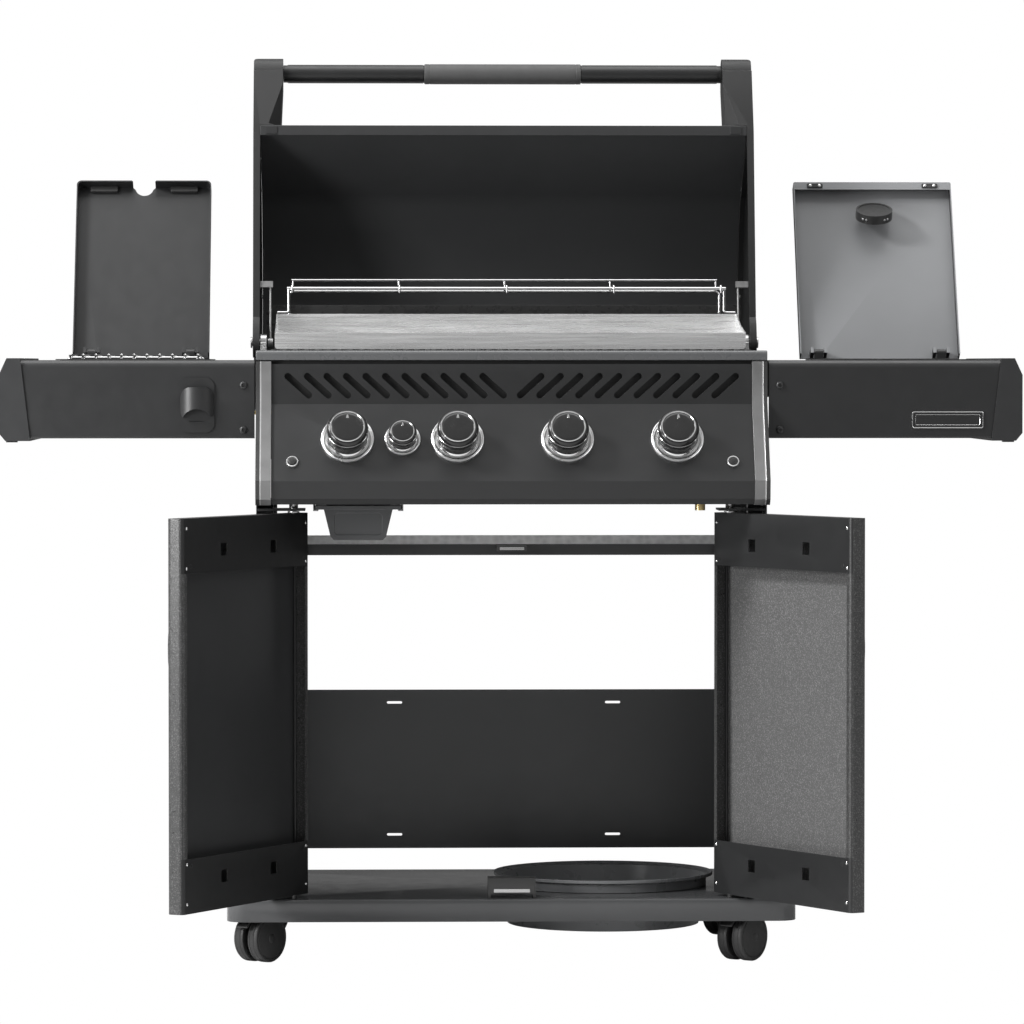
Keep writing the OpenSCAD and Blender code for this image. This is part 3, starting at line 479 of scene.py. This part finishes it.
def lathe(name, profile, place, sides=96):
    """(radius, height) points turned about local Z."""
    verts, faces = [], []
    for i in range(sides):
        a = 2 * math.pi * i / sides
        verts += [(r * math.cos(a), r * math.sin(a), z) for r, z in profile]
    k = len(profile)
    for i in range(sides):
        j = (i + 1) % sides
        for m in range(k - 1):
            quad = [i * k + m, j * k + m, j * k + m + 1, i * k + m + 1]
            if profile[m][0] == 0:
                quad = [quad[0], quad[2], quad[3]]
            elif profile[m + 1][0] == 0:
                quad = [quad[0], quad[1], quad[2]]
            faces.append(quad)
    return placed(mesh_piece(name, verts, faces), place)


def plate(name, outline, thick, place):
    """A flat outline in local X-Y, extruded along local Z from 0 to thick."""
    n = len(outline)
    verts = [(x, y, z) for z in (0, thick) for x, y in outline]
    faces = [list(range(n))[::-1], list(range(n, 2 * n))]
    faces += [[i, (i + 1) % n, n + (i + 1) % n, n + i] for i in range(n)]
    return placed(mesh_piece(name, verts, faces), place)


def round_rect(w, h, r, cx=0, cy=0, steps=6):
    """Outline of a rectangle with round corners."""
    out = []
    for qx, qy, start in ((1, 1, 0), (-1, 1, 90), (-1, -1, 180), (1, -1, 270)):
        for i in range(steps + 1):
            a = math.radians(start + 90 * i / steps)
            out.append((cx + qx * (w / 2 - r) + r * math.cos(a), cy + qy * (h / 2 - r) + r * math.sin(a)))
    return out


def filleted(points, radius, steps=6, closed=False):
    """A path through points with its corners rounded to a radius."""
    points = [Vector(p) for p in points]
    if not radius:
        return points
    out, n = [], len(points)
    for i, p in enumerate(points):
        if not closed and i in (0, n - 1):
            out.append(p)
            continue
        a = (points[i - 1] - p).normalized()
        b = (points[(i + 1) % n] - p).normalized()
        half = a.angle(b) / 2
        if half > math.radians(88):
            out.append(p)
            continue
        reach = radius / math.tan(half)
        start, end = p + a * reach, p + b * reach
        for k in range(steps + 1):
            t = k / steps
            out.append(start * (1 - t) ** 2 + p * (2 * t * (1 - t)) + end * t ** 2)
    return out


def wire(name, points, radius, bend=0, place=Matrix(), sides=14, closed=False):
    """Round wire along a path, with domed ends."""
    path = filleted(points, bend, closed=closed)
    n = len(path)
    tangents = []
    for i in range(n):
        a = path[i - 1] if closed or i else path[i]
        b = path[(i + 1) % n] if closed or i < n - 1 else path[i]
        tangents.append((b - a).normalized())
    side = tangents[0].orthogonal().normalized()
    rings = []
    for i in range(n):
        side = (side - tangents[i] * side.dot(tangents[i])).normalized()
        rings.append((path[i], tangents[i], side, radius))
    if not closed:
        p, t, s, r = rings[0]
        rings = [(p - t * r * 0.30, t, s, r * 0.2), (p - t * r * 0.22, t, s, r * 0.75)] + rings
        p, t, s, r = rings[-1]
        rings += [(p + t * r * 0.22, t, s, r * 0.75), (p + t * r * 0.30, t, s, r * 0.2)]
    verts = []
    for p, t, s, r in rings:
        up = t.cross(s)
        for k in range(sides):
            a = 2 * math.pi * k / sides
            verts.append(p + (s * math.cos(a) + up * math.sin(a)) * r)
    faces = []
    m = len(rings)
    for i in range(m if closed else m - 1):
        j = (i + 1) % m
        for k in range(sides):
            q = (k + 1) % sides
            faces.append([i * sides + k, i * sides + q, j * sides + q, j * sides + k])
    if not closed:
        faces += [list(range(sides))[::-1], list(range((m - 1) * sides, m * sides))]
    return placed(mesh_piece(name, verts, faces), place)


def origin(x, y, z):
    """Places millimetre pieces with their local origin at a point of the cart."""
    return Matrix.Translation(at(x, y, z))


def turned(pivot, degrees, axis="X"):
    """Turns a piece that is laid out closed to its drawn, open place."""
    turn = Matrix.Rotation(math.radians(degrees), 4, axis)
    return Matrix.Translation(pivot) @ turn @ Matrix.Translation(-pivot)


def shift(x, y, z):
    """A move in millimetres inside a piece's own place."""
    return Matrix.Translation(Vector((x, y, z)) * MM)


def facing(axis, degrees):
    """A turn about one axis of a piece's own place."""
    return Matrix.Rotation(math.radians(degrees), 4, axis)


def joined(name, objs):
    """One object from several."""
    bm = bmesh.new()
    for obj in objs:
        bm.from_mesh(obj.data)
        bpy.data.meshes.remove(obj.data)
    mesh = bpy.data.meshes.new(name)
    bm.to_mesh(mesh)
    bm.free()
    return bpy.data.objects.new(name, mesh)


CART = origin(0, 0, 0)
HOOD_OPEN = 100
LID = turned(at(0, 410, 965), -HOOD_OPEN)
SIDE_HINGE_Y, SIDE_HINGE_Z = 425, 948
SIDE_LID_OPEN = 118
SIDE_LID = turned(at(0, SIDE_HINGE_Y, SIDE_HINGE_Z), -SIDE_LID_OPEN)
SIDE_LID_FRONT = SIDE_HINGE_Y - 317  # the closed shelf lids' front edge
BURNER_X, BIN_X = -590, 612
PANEL_TILT = 30
FOLD_Y, FOLD_Z = 2, 868  # where the upright vent band meets the tilted knob face


def on_face(x, z):
    """Local origin on the knob face, local Z out of it."""
    y = FOLD_Y - (FOLD_Z - z) * math.tan(math.radians(PANEL_TILT))
    return origin(x, y, z) @ facing("X", 90 - PANEL_TILT)


# ---- Knobs, bezels and buttons ----

KNOB_Z = 813
KNOB_PITCH = 169.7
KNOBS = {f"knob_{i + 1}": ((i - 1.5) * KNOB_PITCH, 1.0) for i in range(4)}
KNOBS["knob_side_burner"] = (-KNOB_PITCH, 0.68)
BUTTONS = {"ignition_button": -339.5, "light_button": 339.5}
BUTTON_Z = 779
KNOB_BODY = [
    (0, 10), (30.6, 10), (31.2, 11.5), (31.7, 22), (31.9, 32.2), (31.9, 34.2), (31.7, 36), (31.0, 38.4),
    (29.8, 40.4), (28.2, 41.8), (26.9, 42.2), (24.8, 42.2), (24.4, 42.5), (20, 43.0), (13, 43.4), (6, 43.6),
    (0, 43.65),
]
KNOB_RINGS = (  # rim of the cap, band on the side, skirt
    [(26.9, 41.9), (27.0, 42.9), (26.5, 43.4), (25.4, 43.4), (24.8, 42.9), (24.8, 42.2)],
    [(31.8, 32.1), (32.35, 32.5), (32.45, 33.2), (32.35, 33.9), (31.8, 34.3)],
    [(29, 2.4), (33.9, 2.4), (34.3, 3.2), (34.1, 4.4), (32.0, 9.4), (31.4, 10.1), (29, 10.1)],
)
KNOB_SHAFT = [(0, -13), (3.9, -13), (3.9, 3), (29, 3), (29, 10.1)]
POINTER = [(-2.6, 13.5), (2.6, 13.5), (0.9, 20.5), (-0.9, 20.5)]
POINTER_Z = 42.95
KNOB_DISH = [
    (8, 0.2), (40.8, 0.2), (41.0, 1.2), (40.8, 4.2), (40.2, 5.4), (39.2, 5.9), (38.0, 5.6), (36.6, 4.2),
    (35.6, 2.6), (34.8, 1.6), (33.4, 1.3), (8, 1.3), (8, 0.2),
]
BUTTON_COLLAR = [
    (6.45, 0.1), (9.4, 0.1), (9.5, 1.0), (9.2, 3.4), (8.6, 4.0), (7.6, 4.1), (6.9, 3.5), (6.45, 2.6),
    (6.45, 0.1),
]
BUTTON_CAP = [
    (0, -16), (5, -16), (5, -12), (6.3, -12), (6.3, 5.2), (6.0, 6.0), (4.6, 6.4), (4.3, 6.15), (4.0, 6.15),
    (3.7, 6.5), (2, 6.75), (0, 6.8),
]


def scaled(profile, k):
    return [(r * k, z * k) for r, z in profile]


def knob(node, x, k):
    """Black knob with a domed cap, bright rings and skirt, a shaft and a pointer, at k times full size."""
    place = on_face(x, KNOB_Z)
    body = lathe(node + "_body", scaled(KNOB_BODY, k), place)
    finished(body, node, "knob_black", 0, (node,))
    bright = [lathe("ring", scaled(profile, k), place) for profile in KNOB_RINGS]
    bright.append(lathe("shaft", scaled(KNOB_SHAFT, k), place, 48))
    finished(joined(node + "_rings", bright), node, "chrome", 0)
    mark = plate(node + "_pointer", scaled(POINTER, k), 0.35, place @ shift(0, 0, POINTER_Z * k))
    finished(mark, node, "chrome", 0.1)


def bezels():
    """Dished rings round the knobs and plain rings round the buttons."""
    rings = [lathe("dish", scaled(KNOB_DISH, k), on_face(x, KNOB_Z)) for x, k in KNOBS.values()]
    rings += [lathe("collar", BUTTON_COLLAR, on_face(x, BUTTON_Z), 64) for x in BUTTONS.values()]
    satin = plated("bezel_satin", 0.88, 0.26, 0.02)
    finished(joined("bezel_rings", rings), "cart", "chrome", 0, ("knob_bezels",), satin)


def button(node, x):
    """Slightly domed black button with a fine groove."""
    cap = lathe(node + "_cap", BUTTON_CAP, on_face(x, BUTTON_Z), 64)
    finished(cap, node, "black_plastic", 0, (node,))


# ---- Lid ----

def rivet(place, r, h):
    """Domed head of radius r and height h."""
    dome = [(0, 0), (r, 0), (r, h * 0.35), (r * 0.72, h * 0.8), (r * 0.3, h), (0, h)]
    return lathe("rivet", dome, place, 20)


def handle():
    """Satin bar with stepped ends, and a textured grip with end bands."""
    place = LID @ origin(0, -48, 1020) @ facing("Y", 90)
    outer = [(0, 120), (11, 120), (14.0, 129), (15.2, 131), (15.2, 352), (14.2, 354), (14.2, 360), (0, 360)]
    bars = [lathe("bar", [(r, z * side) for r, z in outer], place) for side in (-1, 1)]
    coat = powder("bar_coat", 0.008, 0.40)
    finished(joined("handle_bar", bars), "lid", "satin_black", 0.3, ("lid_handle",), coat)
    band = [(0, 128.7), (15.4, 128.7), (16.3, 128.0), (16.5, 126.6), (16.5, 121), (16.1, 120.4)]
    band += [(16.1, 119.6), (16.5, 119)]
    sleeve = [(r, -z) for r, z in band] + band[::-1]
    finished(lathe("handle_grip_sleeve", sleeve, place), "lid", "grip_grey", 0, ("handle_grip",))


def lid_fittings():
    """Corner brackets on the front flange and rivets inside the lid's ends."""
    brackets = []
    for s in (-1, 1):
        brackets.append(plate("bracket", round_rect(18.5, 13, 2), 1.6, LID @ origin(s * 378.7, 60.5, 953.2)))
    finished(joined("lid_corner_brackets", brackets), "lid", "satin_black", 0.3)
    dots = []
    for s in (-1, 1):
        side = Matrix.Scale(s, 4, (1, 0, 0))
        for y, z in ((128, 1104), (96, 1010), (300, 1150), (440, 1080)):
            dots.append(rivet(side @ LID @ origin(397.2, y, z) @ facing("Y", -90), 4.0, 2.4))
    finished(joined("lid_rivets", dots), "lid", "chrome", 0)


def gauge():
    """Round gauge with a bright bezel, a pale dial, plain tick marks and a needle."""
    place = LID @ origin(0, 91, 1035) @ facing("X", 64)
    bezel = [(0, 0.6), (36, 0.6), (39, 3.6), (39, 10.6), (38.4, 12.4), (36.8, 13.5), (34.6, 13.5)]
    bezel += [(33.2, 12.6), (31.6, 9.8), (0, 9.6)]
    finished(lathe("gauge_bezel", bezel, place), "lid", "chrome", 0, ("lid_gauge",))
    dial = lathe("gauge_dial", [(0, 9.7), (31.2, 9.7), (31.2, 10.1), (0, 10.1)], place)
    finished(dial, "lid", "light_paint", 0, material=moulded("dial_enamel", 0.42, 0.35))
    first, pitch = -45, 27  # degrees
    marks = []
    for i in range(11):
        tick = round_rect(5 if i % 2 else 7, 1.1, 0.3, 26)
        marks.append(plate("tick", tick, 0.3, place @ facing("Z", first + pitch * i) @ shift(0, 0, 10.05)))
    needle = [(-7, -1.3), (21, -0.4), (21, 0.4), (-7, 1.3)]
    marks.append(plate("needle", needle, 0.4, place @ facing("Z", 205) @ shift(0, 0, 10.9)))
    marks.append(lathe("hub", [(0, 10.0), (2.6, 10.0), (2.6, 11.6), (1.6, 12.2), (0, 12.3)], place, 24))
    finished(joined("gauge_marks", marks), "lid", "black_plastic", 0)


# ---- Warming rack and side burner grate ----

def rack():
    """Plated wire rack: bent front and rear bars, curled cross wires and stepped feet."""
    front, rear = 302, 430
    bars = [
        wire("front", [(-351.5, front, 1051), (351.5, front, 1051)], 2.5, place=CART),
        wire("rear", [(x, rear, z) for x, z in ((-350, 954.3), (-350, 1048), (350, 1048), (350, 954.3))],
             2.4, 9, CART),
        wire("rail", [(-346, rear, 1066), (346, rear, 1066)], 2.1, place=CART),
    ]
    curl = [(301.0, 1044.6), (297.6, 1050), (301.6, 1055.0), (425.4, 1052.2), (430.0, 1056.5)]
    curl.append((430.6, 1067.4))
    for x in (-343.8, -171.8, 0, 171.8, 343.8):
        bars.append(wire("cross", [(x, y, z) for y, z in curl], 1.9, 3, CART))
    for side in (-1, 1):
        foot = [(side * x, front, z) for x, z in ((349, 1051), (349, 1012.2), (367, 1012.2))]
        bars.append(wire("foot", foot, 2.3, 4, CART))
    finished(joined("warming_rack_wires", bars), "cart", "chrome", 0, ("warming_rack",))


def grate():
    """Side burner grate: bars with legs at their ends on two bent frame wires."""
    front, rear, top = 150, 364, 943.5
    count, pitch, half = 11, 20, 105
    bars, legs = [], []
    for i in range(count):
        x = BURNER_X + (i - count // 2) * pitch
        bars.append(wire("bar", [(x, front, top), (x, rear, top)], 2.5, place=CART))
        for y in (front + 2.2, rear - 2.2):
            legs.append(wire("leg", [(x, y, top), (x, y, 938)], 2.2, place=CART, sides=10))
    for y in (front + 24, rear - 24):
        corners = ((-half, 898.4), (-half, 939.5), (half, 939.5), (half, 898.4))
        bars.append(wire("frame", [(BURNER_X + x, y, z) for x, z in corners], 2.5, 7, CART))
    finished(joined("grate_wires", bars + legs), "cart", "chrome", 0, ("side_burner_grate",))


# ---- Doors ----

DOOR_W, DOOR_H, DOOR_T = 385, 593, 28
DOOR_X0 = -388
DOOR_X1 = DOOR_X0 + DOOR_W
DOOR_Z0 = 106
DOOR_Z1 = DOOR_Z0 + DOOR_H
PLATE_H = 83  # height of the inner plates at both ends of a door
PLATE_ENDS = (DOOR_Z0 + PLATE_H, DOOR_Z1 - PLATE_H)
RECESS_Y = -12  # between the plates' face and the sunk panel behind it
PIN_X = 338
DOOR_OPEN = 119


def door_place(side):
    """Place of details laid out closed on the left door; side is -1 for the left door, 1 for the right."""
    open_left = turned(at(-PIN_X, 0, 0), -DOOR_OPEN, "Z")
    flip = Matrix.Scale(-1, 4, (1, 0, 0)) if side > 0 else Matrix()
    return flip @ open_left


def door_details(side, body):
    """Rivets, recess screws, eyelets and round weld seams of one door."""
    place = door_place(side)
    face = facing("X", -90)  # local Z towards +Y, the inner side
    dots = []
    for x in (DOOR_X0 + 12, DOOR_X1 - 12):
        for z in (DOOR_Z0 + 15, DOOR_Z0 + 75, DOOR_Z1 - 15, DOOR_Z1 - 75):
            dots.append(rivet(place @ origin(x, 0.0, z) @ face, 2.6, 1.6))
    for z in (306, 484):
        dots.append(rivet(place @ origin(DOOR_X1 - 17, 2 - DOOR_T, z) @ face, 3.4, 2.5))
    finished(joined(body + "_rivets", dots), body, "chrome", 0)
    holes = []
    ring = [(2.4, -0.5), (3.4, -0.5), (3.4, 0.25), (2.9, 0.4), (2.4, 0.25), (2.4, -0.5)]
    for z in (DOOR_Z1 - 72, DOOR_Z0 + 72):
        for x in (DOOR_X0 + 20, DOOR_X1 - 24):
            holes.append(lathe("eyelet", ring, place @ origin(x, 0, z) @ face, 24))
    finished(joined(body + "_eyelets", holes), body, "satin_black", 0)
    seams = []
    for x in (DOOR_X0 + 4, DOOR_X1 - 4):
        for y in (4 - DOOR_T, -4):
            ends = [(x, y, DOOR_Z0 + 2.2), (x, y, DOOR_Z1 - 2.2)]
            seams.append(wire("seam", ends, 2.3, place=place @ CART))
    finished(joined(body + "_corner_seams", seams), body, "satin_black", 0)


# ---- Casters ----

CASTER_X = 376
CASTER_Y = {"f": 56, "r": 424}
SWIVEL = -39
TRAIL = 24
WHEEL_R = 37.5
WHEEL_IN = 4.5  # each wheel's inner side from the caster's middle
WHEEL = [
    (4.1, 0.8), (11, 0.8), (12, 3.5), (27, 3.5), (30, 0.4), (34.5, 0.2), (36.6, 0.9), (37.4, 2.6),
    (37.5, 4.2), (37.0, 4.8), (37.0, 5.6), (37.5, 6.2), (37.5, 12.0), (37.0, 12.6), (37.0, 13.4),
    (37.5, 14.0), (37.3, 16.2), (36.0, 18.2), (33.6, 18.6), (32.6, 18.3), (32.0, 17.4), (31.4, 17.4),
    (30.8, 18.3), (26, 18.8), (18, 19.2), (9.6, 19.4), (4, 19.4), (4.1, 18), (4.1, 0.8),
]
HUB_CAP = [(0, 20.6), (3, 20.5), (6.4, 19.9), (8.2, 18.9), (8.6, 17.5), (0, 17.5)]


def caster_place(corner):
    """Floor point under a caster's swivel; corner is f or r for front or rear, then l or r for the side."""
    sx = -1 if corner[1] == "l" else 1
    return origin(sx * CASTER_X, CASTER_Y[corner[0]], 0) @ facing("Z", SWIVEL)


def caster(corner):
    """Twin wheels with a grooved tread and domed hub caps."""
    axle = caster_place(corner)
    wheels, caps = [], []
    for side in (-1, 1):
        place = axle @ shift(side * WHEEL_IN, -TRAIL, WHEEL_R) @ facing("Y", 90 * side)
        wheels.append(lathe("wheel", WHEEL, place))
        caps.append(lathe("cap", HUB_CAP, place, 32))
    node = "caster_wheels_" + corner
    finished(joined(node + "_pair", wheels), "wheels_" + corner, "wheel_grey", 0, (node,))
    finished(joined("caster_caps_" + corner, caps), "wheels_" + corner, "black_plastic", 0)


# ---- Side shelves ----

def shelf_details():
    """Screw heads with sockets and the bordered blank name plate."""
    head = [(0, 0.3), (6, 0.3), (6, 1.4), (5.5, 2.4), (4.4, 3.3), (3.0, 3.8), (2.6, 3.8), (2.3, 2.2)]
    head.append((0, 2.2))
    bolts = []
    for x in (-415.5, 415.5):
        for z in (828, 897):
            bolts.append(lathe("bolt", head, origin(x, 0, z) @ facing("X", 90), 40))
    finished(joined("shelf_screws", bolts), "cart", "satin_black", 0, ("shelf_bolts",))
    place = origin(676.5, -0.3, 843.5) @ facing("X", 90)
    field = plate("badge_field", round_rect(109, 24, 2.4), 1.0, place)
    finished(field, "cart", "dark_paint", 0.3, ("badge_plate",))
    border = [(x, y, 1.0) for x, y in round_rect(109.5, 24.5, 2.4)]
    finished(wire("badge_border", border, 0.9, 0, place, 10, True), "cart", "chrome", 0)
    inner = [(x, y, 1.1) for x, y in round_rect(100, 16, 1.6)]
    finished(wire("badge_line", inner, 0.35, 0, place, 8, True), "cart", "chrome", 0)


def lid_bumpers():
    """Rubber bumpers of both shelf lids, two bright pins at each on the bin lid, and the hub's jacks."""
    pads = []
    for x in (-66, 66):
        place = SIDE_LID @ origin(BURNER_X + x, SIDE_LID_FRONT + 7.2, 953.4)
        pads.append(plate("pad", round_rect(45, 9.6, 2), 6.2, place))
    finished(joined("burner_lid_pads", pads), "burner_lid", "rubber", 0.8, ("burner_lid_bumpers",))
    pad_y, pad_z = SIDE_LID_FRONT + 7.5, 939.6
    pads, pins = [], []
    for x in (-95, 95):
        pads.append(plate("pad", round_rect(26, 8, 2), 2.0, SIDE_LID @ origin(BIN_X + x, pad_y, pad_z)))
        for e in (-7.5, 7.5):
            place = SIDE_LID @ origin(BIN_X + x + e, pad_y, pad_z + 0.1) @ facing("X", 180)
            pins.append(rivet(place, 2.6, 1.3))
    finished(joined("bin_lid_pads", pads), "bin_lid", "rubber", 0.8, ("bin_lid_bumpers",))
    hub_radius, hub_lean = 30, 38.4
    hub = SIDE_LID @ origin(BIN_X, SIDE_HINGE_Y - 257, SIDE_HINGE_Z - 20) @ facing("X", 180 - hub_lean)
    for x in (-20, -15, 15, 20):
        rim = shift(x, 0.2 - math.sqrt(hub_radius ** 2 - x ** 2), -8)
        pins.append(rivet(hub @ rim @ facing("X", 90), 1.9, 2.0))
    finished(joined("bin_lid_pins", pins), "bin_lid", "stainless", 0)


def catches():
    """Bright magnet bars in the two door catches."""
    bars = []
    for y, z, w, h in ((2.6, 644.2, 38, 4.4), (3.6, 112.5, 56, 5.5)):
        bars.append(plate("bar", round_rect(w, h, 1), 1.2, origin(0, y, z) @ facing("X", 90)))
    finished(joined("magnet_bars", bars), "cart", "stainless", 0.25)


# ---- Base tray and door pin fittings ----

def base_tray():
    """Folded base shelf with a round-cornered skirt and a hole for the bottle ring."""
    low, high = (-442.0, -12.0), (442.0, 490.0)
    radius, bend, steps = 28.0, 3.8, 10
    hole, hole_x, hole_y, hole_sides = 161.7, 152.0, 235.0, 96
    top_z, under_z = 101.0, 99.0
    bend_z = top_z - bend
    fold = [(2.0, 66.0), (0.4, 66.0), (0.0, 66.5), (0.0, bend_z)]
    for angle in range(15, 91, 15):
        a = math.radians(angle)
        fold.append((bend - bend * math.cos(a), bend_z + bend * math.sin(a)))
    under = [(bend, under_z), (2.0, bend_z)]
    bm = bmesh.new()
    loops = []
    for inset, z in fold + under:
        w, d = high[0] - low[0] - 2 * inset, high[1] - low[1] - 2 * inset
        ring = round_rect(w, d, radius - inset, 0, (low[1] + high[1]) / 2, steps)
        loops.append([bm.verts.new(at(x, y, z)) for x, y in ring])
    top_edge, under_edge = loops[len(fold) - 1], loops[len(fold)]
    for a, b in zip(loops, loops[1:] + loops[:1]):
        if a is top_edge:
            continue
        for i in range(len(a)):
            j = (i + 1) % len(a)
            bm.faces.new([a[i], a[j], b[j], b[i]])
    circles = []
    for outer, z in ((top_edge, top_z), (under_edge, under_z)):
        circle = []
        for i in range(hole_sides):
            a = 2 * math.pi * i / hole_sides
            circle.append(bm.verts.new(at(hole_x + hole * math.cos(a), hole_y + hole * math.sin(a), z)))
        edges = []
        for ring in (outer, circle):
            for i in range(len(ring)):
                pair = [ring[i], ring[(i + 1) % len(ring)]]
                edges.append(bm.edges.get(pair) or bm.edges.new(pair))
        bmesh.ops.triangle_fill(bm, use_beauty=True, use_dissolve=False, edges=edges)
        circles.append(circle)
    top, bottom = circles
    for i in range(hole_sides):
        j = (i + 1) % hole_sides
        bm.faces.new([top[i], top[j], bottom[j], bottom[i]])
    bmesh.ops.recalc_face_normals(bm, faces=bm.faces)
    mesh = bpy.data.meshes.new("base_tray")
    bm.to_mesh(mesh)
    bm.free()
    coat = powder("deck_coat", 0.070, 0.15, 0.03, 0.01)
    obj = bpy.data.objects.new("base_tray", mesh)
    finished(obj, "cart", "light_paint", 0, ("base_shelf",), coat, 40)


def hinge_fittings():
    """Bright springs, heads and washers on the door pins."""
    step, samples = 0.5, 76  # radians from one point of the spring to the next, and their number
    head = [(0, 706.2), (4.9, 706.2), (4.9, 707.2), (3.9, 713.0), (0, 713.4)]
    washer = [(4.1, 700.2), (9, 700.2), (9.2, 701.2), (9, 702.3), (4.1, 702.3), (4.1, 700.2)]
    parts = []
    for x in (-PIN_X, PIN_X):
        spring = []
        for t in range(samples):
            a = t * step
            spring.append((x + 6.2 * math.cos(a), 6.2 * math.sin(a), 706.9 + t * 0.085))
        parts.append(wire("spring", spring, 0.9, 0, CART, 8))
        parts.append(lathe("head", head, origin(x, 0, 0), 24))
        parts.append(lathe("washer", washer, origin(x, 0, 0), 32))
    finished(joined("door_pin_springs", parts), "cart", "stainless", 0)


# ---- The whole grill ----

SPECKLED = speckled("door_texture", 0.035, 0.35)
PALE_PAN = powder("pale_inner_sheet", 0.20, 0.34)
PALE_RAIL = spangled("rail_zinc", 0.92, 0.36, 0.0)
# Painted shade: the left door's inner panel and plates are drawn darker than the right door's, which carry
# the same coat.
SMOOTH_INNER_LEFT_PAINTED_SHADE = powder("door_inner_left_painted_shade", 0.030, 0.32, 0.03, 0.0)
PLATE_LEFT_PAINTED_SHADE = powder("door_plate_left_painted_shade", 0.006, 0.45)
HOOD_INNER = powder("hood_inner", 0.042, 0.40)
# Painted light: the right door's inner panel is drawn paler than the left door's, which carries the same
# coat.
INNER_RIGHT_PAINTED_LIGHT = speckled("door_inner_right_painted_light", 0.085, 0.40)
# Painted shade: a near-black finish on the firebox's front faces, so the vent slots show dark.
FIREBOX_PAINTED_SHADE = powder("firebox_front_painted_shade", 0.004, 0.7, 0.2)
OWN_FINISH = {
    "griddle_tray": brushed("griddle_steel", 0.90, 0.27, "X", 0.87),
    "top_trim": powder("trim_coat", 0.085, 0.26),
    "lid_ends": powder("arm_coat", 0.006, 0.50),
    "lid_shell": powder("hood_coat", 0.019, 0.36),
    "shelf_end_caps": powder("cap_coat", 0.024, 0.32),
    "grease_tub": powder("tub_coat", 0.075, 0.36),
    "tank_ring": powder("ring_coat", 0.19, 0.28),
    "back_panel": powder("rear_coat", 0.075, 0.30),
    "lid_stays": spangled("stay_zinc", 0.35, 0.34),
    # Panel ends: painted highlight on the ridge and painted shade on the strip outside it.
    "panel_ends": cast_with_painted_ridge_light("panel_end_cast_painted_light", 0.22, 0.36, 0.3880, 0.3894),
}
CORNERS = ("fl", "fr", "rl", "rr")
REPLACED = {
    "base_shelf", "lid_gauge", "knob_bezels", "lid_handle", "handle_grip", "warming_rack",
    "side_burner_grate", "shelf_bolts", "badge_plate", "burner_lid_bumpers", "bin_lid_bumpers",
    *KNOBS, *BUTTONS, *("caster_wheels_" + corner for corner in CORNERS),
}
ROUNDING = {  # edge rounding of a CAD skin in millimetres, where it isn't the plain one
    "control_panel": 0.9, "griddle_tray": 0.8, "grease_tub": 0.9, "top_trim": 0.9, "shelf_end_caps": 1.6,
    "lid_shell": 0.9, "lid_ends": 1.4, "panel_ends": 1.0, "tank_ring": 0.6,
}
PLAIN_ROUNDING = 0.5
CREASE, FINE_CREASE = 32, 24  # degrees above which an edge stays sharp
ZONES = {  # second finish of a CAD skin, by place in millimetres and normal
    "frame_rails": (PALE_RAIL, lambda p, n: p.y > 400),
    # firebox front faces: painted shade
    "firebox": (FIREBOX_PAINTED_SHADE, lambda p, n: n.y < -0.5 and p.y < 60),
    "lid_shell": (HOOD_INNER, lambda p, n: n.y < 0.2 and p.z < 1285),
    "bin_lid": (PALE_PAN, lambda p, n: n.y < -0.5),
}


def door_skin(node, side):
    """Speckled door whose inner plates and sunk inner panel have their own finishes. On the left door these
    are darker, as painted shade. On the right door the plates are satin black and the inner panel is paler,
    as painted light.
    """
    obj = skin(node, 0.9, SPECKLED, cuts=PLATE_ENDS)
    back = door_place(side).inverted()
    # Left door: darker plates and inner panel, as painted shade. Right door: satin black plates and a paler
    # inner panel, as painted light.
    obj.data.materials.append(PLATE_LEFT_PAINTED_SHADE if side < 0 else FINISH["satin_black"])
    obj.data.materials.append(SMOOTH_INNER_LEFT_PAINTED_SHADE if side < 0 else INNER_RIGHT_PAINTED_LIGHT)
    for face in obj.data.polygons:
        p = back @ face.center
        y = (p.y - FRONT) / MM
        z = p.z / MM
        facing_in = (back.to_3x3() @ face.normal).y
        near_end = z < PLATE_ENDS[0] or z > PLATE_ENDS[1]
        if y > RECESS_Y and near_end and abs(facing_in) > 0.5:
            face.material_index = 1
        elif y < RECESS_Y and facing_in > 0.5:
            face.material_index = 2


def cad_skins():
    """Softened copies of the CAD nodes that no finer piece replaces."""
    for node in frame["nodes"]:
        if node in REPLACED:
            continue
        if node.startswith("door_"):
            door_skin(node, -1 if node == "door_left" else 1)
            continue
        crease = FINE_CREASE if node == "control_panel" else CREASE
        made = skin(node, ROUNDING.get(node, PLAIN_ROUNDING), OWN_FINISH.get(node), crease)
        if node in ZONES:
            zone(made, *ZONES[node])


camera()
studio()
cad_skins()
for node_name, (knob_x, knob_scale) in KNOBS.items():
    knob(node_name, knob_x, knob_scale)
for node_name, button_x in BUTTONS.items():
    button(node_name, button_x)
bezels()
handle()
lid_fittings()
gauge()
rack()
grate()
door_details(-1, "door_left")
door_details(1, "door_right")
for caster_corner in CORNERS:
    caster(caster_corner)
shelf_details()
lid_bumpers()
catches()
hinge_fittings()
base_tray()
